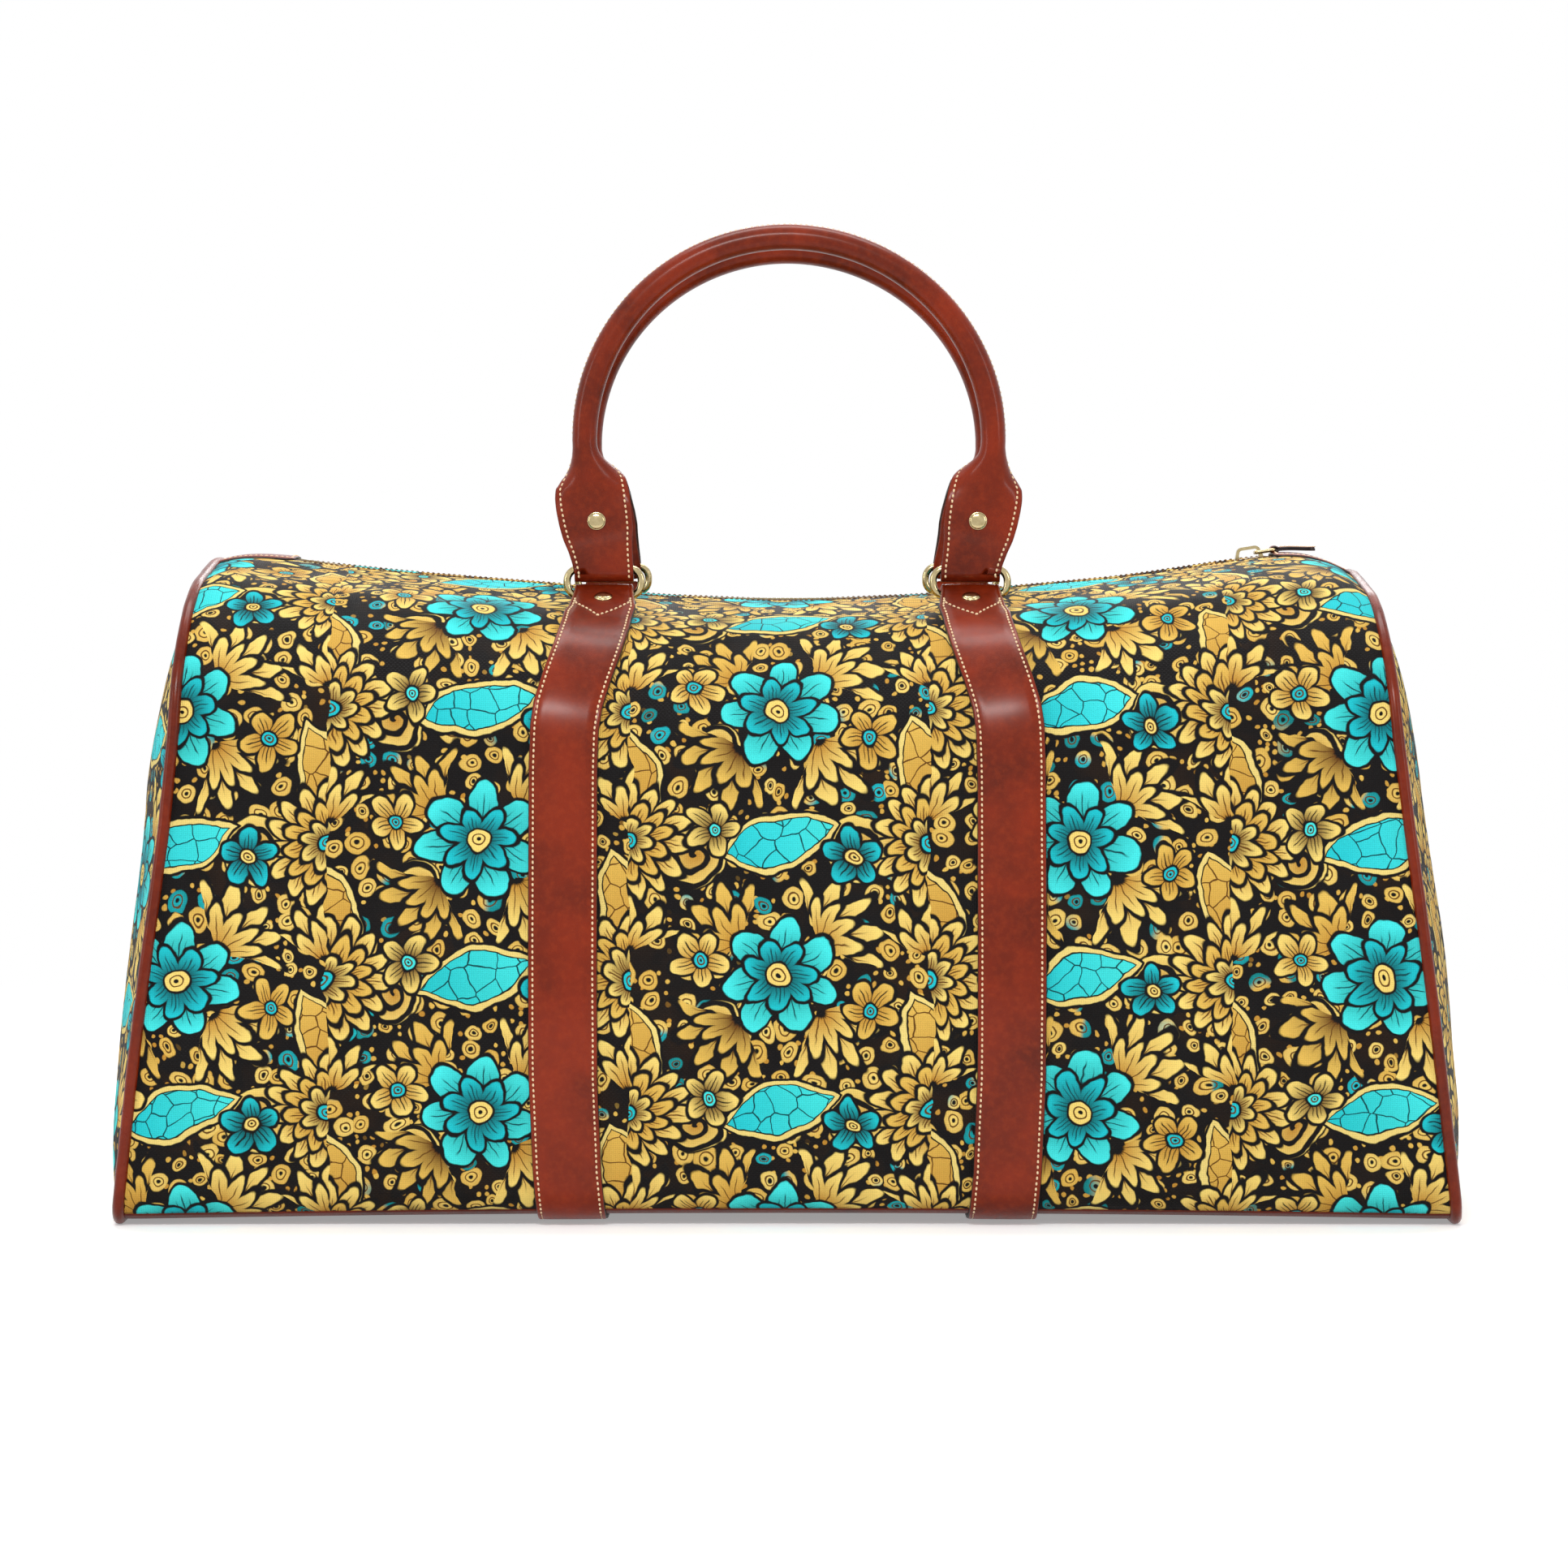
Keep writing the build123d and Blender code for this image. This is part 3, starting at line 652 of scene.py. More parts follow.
def weave_height(t, uv_mm, pitch):
    """Plain weave: threads over and under, from 0 to 1."""
    x, y, _ = t.split(uv_mm)
    x, y = x * (math.pi / pitch), y * (math.pi / pitch)
    over = t.math("SINE", x) * t.math("SINE", y) * 4.0
    share = t.math("ADD", over * 0.5, 0.5, clamp=True)
    warp, weft = abs(t.math("COSINE", x)), abs(t.math("COSINE", y))
    return warp * share + weft * (1.0 - share)


def canvas_material():
    mat, t = new_material("printed_canvas", Roughness=0.6, Specular_IOR_Level=0.12)
    mm = t.in_mm(t.out(t.node("ShaderNodeUVMap", uv_map="UVMap")))
    height = weave_height(t, mm, 0.85) + t.noise(mm, 1.1, 2.0) * 0.35
    # the print is darkened between the threads and lightened on their tops, following the height of the
    # weave and its slubs: painted shade and sheen
    weave_shade_and_sheen = t.between(height, 0.1, 1.2, 0.86, 1.06)
    weave_shade_and_sheen = t.out(t.node("ShaderNodeCombineColor", weave_shade_and_sheen, weave_shade_and_sheen, weave_shade_and_sheen))
    t.shade(
        Base_Color=t.mix(1.0, printed_colour(t, mm), weave_shade_and_sheen, "MULTIPLY"),
        Roughness=t.between(t.noise(mm, 0.05, 3.0), 0.3, 0.7, 0.50, 0.66),
        Normal=t.bump(height, 0.00022, 0.75),
    )
    return mat


def leather_material(name, tint=1.0, rough=0.36):
    mat, t = new_material(
        name, Specular_IOR_Level=0.12, Specular_Tint=(1.0, 0.65, 0.5, 1.0),
        Coat_Weight=0.42, Coat_Roughness=0.22, Coat_IOR=1.38,
    )
    shades = [rgb(90, 23, 5), rgb(128, 36, 9), rgb(152, 53, 17)]
    deep, plain, warm = ([v * tint for v in shade[:3]] + [1] for shade in shades)
    p = t.object_mm()
    big = t.noise(p, 0.028, 3.0, 0.6)
    mid = t.noise(p, 0.35, 4.0, 0.6)
    colour = t.mix(t.between(big, 0.35, 0.65), deep, plain)
    creases = t.below(t.voronoi(p, 1.25, feature="DISTANCE_TO_EDGE")[0], 0.06, 0.05)
    height = t.noise(p, 3.4, 2.0) * 0.5 - creases * 0.4 + t.noise(p, 0.12, 2.0) * 1.6
    t.shade(
        Base_Color=t.mix(t.between(mid, 0.45, 0.75) * 0.35, colour, warm),
        Roughness=t.between(mid, 0.3, 0.7, rough - 0.05, rough + 0.10),
        Normal=t.bump(height, 0.00012, 0.55),
    )
    return mat


def plain_material(name, light, dark, rough_low, rough_high, scale, bump=0.00004, **sockets):
    mat, t = new_material(name, **sockets)
    n = t.noise(t.object_mm(), scale, 3.0, 0.6)
    t.shade(
        Base_Color=t.mix(t.between(n, 0.3, 0.7), dark, light),
        Roughness=t.between(n, 0.3, 0.7, rough_low, rough_high),
        Normal=t.bump(n, bump, 0.6),
    )
    return mat


def thread_material():
    mat, t = new_material("thread", Roughness=0.7, Sheen_Weight=0.2)
    p = t.object_mm()
    share = t.between(t.noise(p, 2.4, 2.0), 0.3, 0.7)
    t.shade(
        Base_Color=t.mix(share, rgb(222, 184, 134), rgb(250, 228, 190)),
        Normal=t.bump(t.noise(p, 5.0, 2.0), 0.0001, 0.8),
    )
    return mat


def tape_material():
    mat, t = new_material("zip_tape_weave", Roughness=0.8, Sheen_Weight=0.15)
    x, y, _ = t.split(t.object_mm())
    rib = t.math("SINE", x * (2 * math.pi / 1.1) + abs(y) * 3.0)
    # the colour follows the ribs: darker in their grooves as painted shade, lighter on their crests as
    # painted light
    t.shade(
        Base_Color=t.mix(t.between(rib, -1, 1), rgb(34, 18, 12), rgb(66, 38, 26)),
        Normal=t.bump(rib, 0.00012, 0.7),
    )
    return mat


canvas = canvas_material()
leather = leather_material("brown_leather")
leather_piping = leather_material("brown_leather_piping", tint=0.82, rough=0.3)
# the base's leather is the brown leather darkened: painted shade for the shadow under the bag
leather_base_shaded = leather_material("brown_leather_base", tint=0.62, rough=0.45)
leather_inside = plain_material("leather_flesh", rgb(70, 40, 28), rgb(40, 22, 16), 0.7, 0.9, 0.8)
edge_paint = plain_material("edge_paint", rgb(34, 20, 18), rgb(16, 10, 10), 0.35, 0.55, 0.5)
thread = thread_material()
thread_dark = plain_material("thread_dark", rgb(126, 84, 40), rgb(92, 58, 26), 0.65, 0.8, 2.4)
gold = plain_material(
    "pale_gold", (0.55, 0.45, 0.25, 1), (0.43, 0.34, 0.17, 1), 0.12, 0.2, 0.5, 0.00001, Metallic=1.0
)
tape = tape_material()

# ---------------------------------------------------------------- panels
def build_panel(face, word):
    p, down = surface[face]
    pts = p[SLOT_ROW:SEAM_ROW + 1]
    length = down[SLOT_ROW:SEAM_ROW + 1]
    flat_v = length[-1][None, :] - length + SEAM_Z
    flat_u = pts[..., 0]
    # hem turned under along the zip, and a tuck at the base seam
    lip = []
    for sink, back in ((2.2, -1.0), (1.4, 0.6), (0.35, 0.9)):
        q = pts[0] - body_normals[SLOT_ROW] * sink
        q[:, 1] -= back * 0.6
        lip.append(q)
    tuck = pts[-1] - body_normals[SEAM_ROW] * 1.6
    tuck[:, 2] += 0.3
    pts = np.concatenate([np.array(lip), pts, tuck[None]], 0)
    u = np.concatenate([np.repeat(flat_u[:1], 3, 0), flat_u, flat_u[-1:]], 0)
    v = np.concatenate([flat_v[:1] + np.array([[3.0], [2.0], [0.9]]), flat_v, flat_v[-1:] - 1.6], 0)
    pts = mirror_y(pts, face)
    uv = np.stack([u.ravel() * MM * (-face) + (0.0 if face < 0 else 0.059), v.ravel() * MM], 1)
    faces = quads(pts.shape[0], pts.shape[1], flip=(face < 0))
    obj = make_mesh(f"{word}_canvas", pts.reshape(-1, 3), faces, [canvas], uv)
    attach(obj, "bag", f"{word}_panel")


for face, word in FACES:
    build_panel(face, word)


def end_loop(side):
    """Closed outline of the piped seam: points, and the seam plane's outward normal."""
    half = lift_base(body_grid([side * BASE_HALF])[:, 0][:, None])[:, 0]
    outward = np.array([side * math.cos(SLANT), 0, math.sin(SLANT)])
    return both_faces(half)[:-1], outward


def build_end(side, word):
    """The filled end, from its piped seam to the middle, where it stands out most."""
    bulge = 16.0
    loop, outward = end_loop(side)
    middle = (loop[0] + loop[len(loop) // 2]) / 2
    shares = np.concatenate([np.linspace(1.0, 0.9, 9), np.linspace(0.88, 0.02, 30)])
    pts = np.array([
        middle + (loop - middle) * share + outward * (bulge * (1 - share ** 2.4) ** 0.85) for share in shares
    ])
    y, z = pts[..., 1], pts[..., 2]
    soft = 1.5 * wave_grid(y / 62.0, z / 70.0, 7.0 + side) + 0.7 * wave_grid(y / 26.0, z / 60.0, 2.0 + side)
    fade = smooth_step((1 - shares) / 0.12)[:, None]
    pts = pts + outward * (soft * fade)[..., None]
    verts = pts.reshape(-1, 3)
    cols = len(loop)
    faces = quads(len(shares), cols, wrap_cols=True, flip=(side < 0)).tolist()
    cap = list(range((len(shares) - 1) * cols, len(shares) * cols))
    faces.append(cap[::-1] if side > 0 else cap)
    uv = np.stack([(verts[:, 1] * side + 31.0) * MM, (verts[:, 2] + 17.0) * MM], 1)
    obj = make_mesh(f"end_canvas_{word}", verts, faces, [canvas], uv)
    attach(obj, "bag", f"end_panel_{word}")


for side, word in SIDES:
    build_end(side, word)


def tube(path, radius, sides, wobble=0.0, seed=0.0):
    """A tube along a closed path of points."""
    path = np.asarray(path, float)
    n = len(path)
    t = unit(np.roll(path, -1, 0) - np.roll(path, 1, 0))
    normals = []
    prev = unit(np.cross(t[0], [0.37, 0.11, 0.92]))
    for i in range(n):
        prev = unit(prev - t[i] * (prev @ t[i]))
        normals.append(prev)
    normals = np.array(normals)
    bi = np.cross(t, normals)
    a = np.linspace(0, 2 * math.pi, sides, endpoint=False)
    r = np.broadcast_to(np.asarray(radius, float), (n,)).copy()
    if wobble:
        r = r + wobble * np.array([wave(p[1] / 9.0, p[2] / 9.0, seed) for p in path])
    ring = normals[:, None] * np.cos(a)[None, :, None] + bi[:, None] * np.sin(a)[None, :, None]
    pts = path[:, None] + ring * r[:, None, None]
    return pts.reshape(-1, 3), quads(n, sides, wrap_cols=True, wrap_rows=True)


for side, word in SIDES:
    loop, _ = end_loop(side)
    v, f = tube(loop, PIPING_R, 14, wobble=0.12, seed=side)
    attach(make_mesh(f"piping_cord_{word}", v, f, [leather_piping]), "bag", f"piping_{word}")


def build_base():
    """Leather under the bag, its edge turned in at the seam."""
    n = body_normals[SEAM_ROW:]
    half = lift_base(body)[SEAM_ROW:] + n * 0.25
    edge = half[0].copy()
    edge[:, 2] += 0.35
    inner = edge - n[0] * 1.2
    pts = both_faces(np.concatenate([inner[None], edge[None], half], 0))
    faces = quads(pts.shape[0], pts.shape[1], flip=True)
    obj = make_mesh("base_leather", pts.reshape(-1, 3), faces, [leather_base_shaded])
    attach(obj, "bag", "base_panel")


build_base()

# ---------------------------------------------------------------- stitches
def stitch_mesh(points, normals, pitch=2.2, length=1.42, width=0.42, height=0.32, slant=0.10):
    """Short raised threads along a line on a surface."""
    pts, at, s = resample(points, pitch)
    nrm = unit(np.stack([np.interp(at, s, np.asarray(normals)[:, k]) for k in range(3)], 1))
    t = unit(np.gradient(pts, axis=0))
    stations = np.array([-1, -0.82, -0.4, 0.4, 0.82, 1.0])
    fat = np.array([0.15, 0.72, 1.0, 1.0, 0.72, 0.15])
    lift = np.array([-0.5, -0.05, 0.42, 0.42, -0.05, -0.5])
    sides, last = 7, len(stations) - 1
    a = np.linspace(0, 2 * math.pi, sides, endpoint=False)
    verts, faces = [], []
    for i in range(len(pts)):
        side = unit(np.cross(nrm[i], t[i]))
        along = unit(t[i] + side * slant)
        across = unit(np.cross(nrm[i], along))
        ring = across[None] * np.cos(a)[:, None] * width + nrm[i][None] * np.sin(a)[:, None] * height
        first = len(verts) * sides
        for u, g, h in zip(stations, fat, lift):
            verts.append(pts[i] + along * u * length / 2 + nrm[i] * h * height + ring * g)
        faces.extend((quads(last + 1, sides, wrap_cols=True) + first).tolist())
        faces.append([first + k for k in range(sides)][::-1])
        faces.append([first + last * sides + k for k in range(sides)])
    return np.concatenate(verts), faces


def thread_object(name, lines, body_name, yarn=thread, **settings):
    """One piece of stitches along several lines, each given by its points and normals."""
    v, f, _ = merge([(*stitch_mesh(points, normals, **settings), 0) for points, normals in lines])
    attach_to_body(make_mesh(name, v, f, [yarn]), body_name)


# top stitching of the canvas along the zip
for face, word in FACES:
    keep = np.abs(body[0, :, 0]) < HEM_HALF
    hem = mirror_y(surface[face][0][SLOT_ROW + 1][keep], face)
    hem_n = mirror_y(body_normals[SLOT_ROW + 1][keep], face)
    thread_object(f"zip_hem_stitches_{word}", [(hem + hem_n * 0.1, hem_n)], "bag", yarn=thread_dark)


# ---------------------------------------------------------------- straps
LOOP_LAYER = 2.25
LOOP_RISE = 1.0
SLOPE_ROWS, BEND_ROWS, TAIL_ROWS = 9, 16, 5
END_ROWS = SLOPE_ROWS + BEND_ROWS + TAIL_ROWS
STITCH_A = 0.868
# upper side of a strap from edge to edge: shares of its half width, and of its layer
edge_a = np.array([-1.0, -1.0, -0.985, -0.955, -0.90, -STITCH_A, -0.835, -0.6, -0.3])
edge_h = np.array([0.10, 0.68, 0.88, 0.985, 1.0, 0.90, 1.0, 1.02, 1.03])
profile_a = np.concatenate([edge_a, [0.0], -edge_a[::-1]])
profile_h = np.concatenate([edge_h, [1.03], edge_h[::-1]])
MIDDLE_COL = len(edge_a)
STITCH_COLS = (5, 13)
# and the under side back again
under_a = np.array([0.8, 0.3, -0.3, -0.8])
ring_a = np.concatenate([profile_a, under_a])
ring_h = np.concatenate([profile_h, np.zeros(len(under_a))])

strap_feet = np.arange(-112.0, 112.5, 2.0)
strap_body = body_grid(strap_feet)
strap_surface = {face: dressed(strap_body, strap_feet, RELIEF_SEED[face])[0] for face in (-1, 1)}
strap_normals = grid_normals(strap_body)


def at_x(table, row, x):
    """Value of a row of the strap table at x."""
    return np.stack([np.interp(x, strap_feet, table[row][:, k]) for k in range(3)], -1)


def strap_middle(z):
    """Middle of a strap at a height, on the front as on the rear."""
    zs = [0, 22, 60, 150, 180, 196, 205, 215, 226, 236, 246, 262]
    xs = [84.5, 86.6, 88, 88, 88, 87.5, 86.2, 83.2, 79.4, 76.4, 74.6, 74]
    return np.interp(z, zs, xs)


def strap_half(side, face):
    """Cross-sections of a strap from the middle of the base, up one face and round the ring."""
    table, normals = strap_surface[face], strap_normals
    sections = []
    for row in range(len(strap_body) - 1, 0, -1):
        probe = at_x(table, row, np.array([side * 80.0]))[0]
        if row < SEAM_ROW and probe[1] < 72.5:
            break
        middle = side * float(strap_middle(probe[2]))
        xs = middle + ring_a * (STRAP_W / 2 + 0.10 * wave(probe[2] / 30.0, side * 3.0 + face))
        base_n = unit(at_x(normals, row, xs))
        sections.append(at_x(table, row, xs) + base_n * (0.04 + ring_h * STRAP_T)[:, None])
    # the folded end: up to the ring, round its lower bar and back under
    up = np.array([math.sin(STRAP_ANGLE), math.cos(STRAP_ANGLE)])
    bar = np.array([RING_Y, RING_LOW])
    start = np.array([70.0, 241.27]) + up * 2.3
    end = bar + up * LOOP_R
    path = [start + (end - start) * k for k in np.linspace(0.12, 1, SLOPE_ROWS)]
    norm = [up] * SLOPE_ROWS
    for k in np.linspace(0, 1, BEND_ROWS + 1)[1:]:
        a = math.atan2(up[1], up[0]) + math.radians(205) * k
        direction = np.array([math.cos(a), math.sin(a)])
        path.append(bar + direction * LOOP_R)
        norm.append(direction)
    path.extend(np.linspace(path[-1], (67.5, 239.6), TAIL_ROWS + 1)[1:])
    norm.extend([norm[-1]] * TAIL_ROWS)
    h = (ring_h - 1.0) * LOOP_LAYER
    for i, (q, out) in enumerate(zip(path, norm)):
        k = min(1.0, i / (SLOPE_ROWS - 1))
        x = side * (RING_X + 0.35 * (1 - k)) + ring_a * ((STRAP_W / 2) * (1 - k) + LOOP_W * k)
        lift = LOOP_RISE * float(smooth_step((q[1] - RING_LOW - 0.8) / 2.6))
        sections.append(np.stack([x, q[0] + out[0] * h, q[1] + out[1] * h + lift], 1))
    return np.array(sections)


def grid_point(rings, row, col):
    """A point between the rows and columns of a grid."""
    i, j = int(row), int(col)
    di, dj = row - i, col - j
    above = rings[i, j] * (1 - dj) + rings[i, j + 1] * dj
    below = rings[i + 1, j] * (1 - dj) + rings[i + 1, j + 1] * dj
    return above * (1 - di) + below * di


def pointed_seam(rings, face):
    """The two lines of the V below a strap's stud, on one face."""
    slope = len(rings) - END_ROWS
    up = np.array([0.0, face * math.sin(STRAP_ANGLE), math.cos(STRAP_ANGLE)])
    near = np.arange(slope - 5, slope + 6)
    down = np.concatenate([[0], np.cumsum(np.linalg.norm(np.diff(rings[near, MIDDLE_COL], axis=0), axis=1))])
    start, tip = np.interp([slope + 3.0, slope - 1.3], near, down)
    for shares, reach in ((np.linspace(0, 1, 13), 4.0), (np.linspace(1, 0, 13), -4.0)):
        rows = [float(np.interp(start + (tip - start) * share, down, near)) for share in shares]
        line = [
            grid_point(rings, row, MIDDLE_COL - reach * (1 - share)) + up * 0.08
            for row, share in zip(rows, shares)
        ]
        yield np.array(line), np.repeat(up[None], len(line), 0)


def build_strap(side, word):
    halves = [mirror_y(strap_half(side, face), face) for face, _ in FACES]
    lines = []
    for (face, _), rings in zip(FACES, halves):
        on_face = slice(14, len(rings) - END_ROWS + 4)
        for col in STITCH_COLS:
            line = rings[on_face, col]
            across = unit(rings[on_face, MIDDLE_COL] - line)
            nrm = np.cross(unit(np.gradient(line, axis=0)), across)
            nrm *= np.sign(nrm[:, 1:2] * face + nrm[:, 2:3] * 0.6)
            lines.append((line + nrm * 0.05, nrm))
    rings = np.concatenate([halves[0][::-1], halves[1][1:]])
    cols = len(ring_a)
    faces = quads(len(rings), cols, wrap_cols=True).tolist()
    # edge paint on the two outer strips of each edge, and the flesh side underneath
    last = len(profile_a) - 1
    kinds = [1 if c in (0, 1, last - 2, last - 1) else (2 if c >= last else 0) for c in range(cols)]
    mats = kinds * (len(rings) - 1) + [1, 1]
    faces.append(list(range(cols)))
    faces.append([(len(rings) - 1) * cols + c for c in range(cols)][::-1])
    skins = [leather, edge_paint, leather_inside]
    obj = make_mesh(f"strap_leather_{word}", rings.reshape(-1, 3), faces, skins, face_mats=mats)
    fix_normals(obj)
    attach(obj, "bag", f"strap_{word}")
    for (face, _), rings in zip(FACES, halves):
        lines.extend(pointed_seam(rings, face))
    thread_object(f"strap_stitches_{word}", lines, "bag")


for side, word in SIDES:
    build_strap(side, word)

# ---------------------------------------------------------------- rivets and rings
def dome(centre, axis):
    """Domed cap with a rolled rim, its seat on centre and its top along axis."""
    radius, height, seat = 3.7, 1.3, 0.5
    axis = unit(axis)
    ref = unit(np.cross(axis, [0.3, 0.2, 0.9]))
    other = np.cross(axis, ref)
    rim = ((0.92, -0.12), (1.0, 0.08), (1.0, 0.26), (0.965, 0.42), (0.92, 0.44), (0.88, seat))
    rows = [(radius * share, h) for share, h in rim]
    for k in np.linspace(0.06, 1, 9):
        a = k * math.pi / 2
        rows.append((radius * 0.88 * math.cos(a), seat + (height - seat) * math.sin(a)))
    rows[-1] = (0.02, height)
    n = 28
    ang = np.linspace(0, 2 * math.pi, n, endpoint=False)
    ring = np.cos(ang)[:, None] * ref + np.sin(ang)[:, None] * other
    verts = np.concatenate([np.asarray(centre) + axis * h + ring * r for r, h in rows])
    faces = quads(len(rows), n, wrap_cols=True).tolist()
    faces.append([(len(rows) - 1) * n + i for i in range(n)])
    faces.append(list(range(n))[::-1])
    return verts, faces, 0


def build_stud(name, domes, body_name, node):
    v, f, m = merge(domes)
    obj = make_mesh(name, v, f, [gold], face_mats=m)
    fix_normals(obj)
    attach(obj, body_name, node)


def ring_path(side, face):
    """Middle of a ring's wire: a long oval with rounded corners."""
    pts = []
    for turn, (right, top) in enumerate(((1, 1), (-1, 1), (-1, -1), (1, -1))):
        cx = right * RING_HALF - right * RING_CORNER
        cz = (RING_HIGH if top > 0 else RING_LOW) - top * RING_CORNER
        for a in np.radians(90 * turn + np.linspace(0, 90, 13)):
            x, z = cx + RING_CORNER * math.cos(a), cz + RING_CORNER * math.sin(a)
            pts.append((side * RING_X + x, face * RING_Y, z))
    return pts


for face, fword in FACES:
    for side, sword in SIDES:
        where = f"{fword}_{sword}"
        seats = [(side * STUD_X, face * (RING_Y + out * STUD_Y), STUD_Z) for out in (1, -1)]
        domes = [dome(seat, (0, face * out, 0)) for seat, out in zip(seats, (1, -1))]
        build_stud(f"handle_stud_{where}", domes, f"handle_{fword}", f"handle_rivet_{where}")
        rise, run = math.cos(STRAP_ANGLE), math.sin(STRAP_ANGLE)
        y, z = RING_Y + LOOP_R * run + STRAP_STUD * rise, RING_LOW + LOOP_R * rise - STRAP_STUD * run
        domes = [dome((side * RING_X, face * y, z), (0, face * run, rise))]
        build_stud(f"strap_stud_{where}", domes, "bag", f"strap_rivet_{where}")
        v, f = tube(ring_path(side, face), WIRE_R, 16)
        wire = make_mesh(f"ring_wire_{where}", v, f, [gold])
        attach(wire, f"ring_{where}", f"ring_{where}")

# ---------------------------------------------------------------- handles
# a leg at heights leg_z: its middle on each side, and how much further out the rear one stands
leg_z = [255, 258.5, 263, 268, 273, 278, 284, 288, 293, 297, 300, 302.5, 305, 308, 310.5]
leg_x = {
    -1: [74, 74.1, 74.7, 75.5, 76.4, 77.3, 78.3, 78.8, 79.3, 79.9, 80.5, 81.0, 81.4, 81.7, 81.8],
    1: [74, 74.2, 75.0, 76.1, 77.2, 78.2, 79.3, 80.0, 80.8, 81.5, 82.1, 82.6, 82.9, 83.1, 83.2],
}
leg_rear = [0, 0, 0.2, 0.6, 1.1, 1.6, 2.4, 2.8, 2.9, 2.8, 2.6, 2.4, 2.2, 2.0, 1.9]
# half width of the strip, radius of its curl, how far it stands out from the ring, and its layer
FLAT = 900.0
leg_w = [11.8, 12.0, 12.3, 13.1, 14.3, 14.8, 15.0, 15.0, 14.9, 14.6, 14.2, 13.8, 13.5, 13.3, 13.3]
leg_r = [FLAT, FLAT, FLAT, FLAT, FLAT, 500, 120, 48, 21, 11.6, 8.5, 6.7, 5.6, 5.0, 5.0]
leg_f = [3.8, 3.8, 3.7, 3.3, 2.5, 2.45, 2.4, 2.6, 3.1, 3.7, 4.2, 4.6, 4.8, 5.0, 5.0]
leg_t = [HANDLE_T] * 8 + [2.1, 2.0] + [ROLL_T] * 5


def handle_line_x(z, hand, face):
    """Middle of a handle's leg at a height, measured from the middle of the bag."""
    x = np.interp(z, leg_z, leg_x[hand])
    return float(x + (np.interp(z, leg_z, leg_rear) if face > 0 else 0.0))


def handle_leg(hand, face):
    """Sections of one leg of the strip, from its back flap down, round the ring and up to the arch.
    Each: point of the outer face, outward direction, half width, radius of the curl, twist, layer."""
    rows = []

    def add_row(x, f, z, out, w, r, twist, layer):
        place = np.array([hand * x, face * (RING_Y + f), z])
        direction = np.array([0, face * out[0], out[1]])
        rows.append([place, direction, float(w), float(r), float(twist), float(layer)])

    # back flap, going down
    for z in np.linspace(291.5, 265.0, 14):
        w = np.interp(z, leg_z, leg_w) - 0.7
        w -= 4.2 * max(0.0, (z - 283.0) / 8.5) ** 2
        f = -min(np.interp(z, leg_z, leg_f), FOLD_OUT)
        add_row(handle_line_x(z, hand, face), f, z, (-1.0, 0.0), w, FLAT, 0.0, HANDLE_T)
    # round the upper bar of the ring, hanging a little below it
    for k in np.linspace(0, 1, 21):
        a = math.radians(180 + 12 + 156 * k)
        out = unit(np.array([math.cos(a) / FOLD_OUT, math.sin(a) / FOLD_DROP]))
        f, z = FOLD_OUT * math.cos(a), RING_HIGH + FOLD_DROP * math.sin(a)
        add_row(RING_X, f, z, out, 11.9, FLAT, 0.0, HANDLE_T)
    # front, going up
    for z in np.concatenate([np.linspace(261.0, 290, 21), np.linspace(291.2, 310.5, 22)]):
        w, f, layer = (np.interp(z, leg_z, v) for v in (leg_w, leg_f, leg_t))
        r = 1.0 / np.interp(z, leg_z, 1.0 / np.array(leg_r))
        twist = TWIST * smooth_step((z - 292.0) / 24.0)
        add_row(handle_line_x(z, hand, face), f, z, (1.0, 0.0), w, r, twist, layer)
    return rows


def handle_arch(face):
    """Sections of the roll between the two legs."""
    top_z, roll = leg_z[-1], leg_r[-1]
    rows = []
    for a in np.linspace(180, 0, 97)[1:-1]:
        t = math.radians(a)
        hand = 1 if a < 90 else -1
        spread = (handle_line_x(top_z, hand, face) - HANDLE_R) * abs(math.cos(t)) ** 1.5
        reach = HANDLE_R * math.cos(t) + hand * spread
        fat = roll + (ROLL_R - roll) * float(smooth_step(math.sin(t) / 0.35))
        pos = np.array([reach, face * (RING_Y + fat), HANDLE_Z + HANDLE_R * math.sin(t)])
        rows.append([pos, np.array([0, float(face), 0]), leg_w[-1], fat, TWIST, ROLL_T])
    return rows


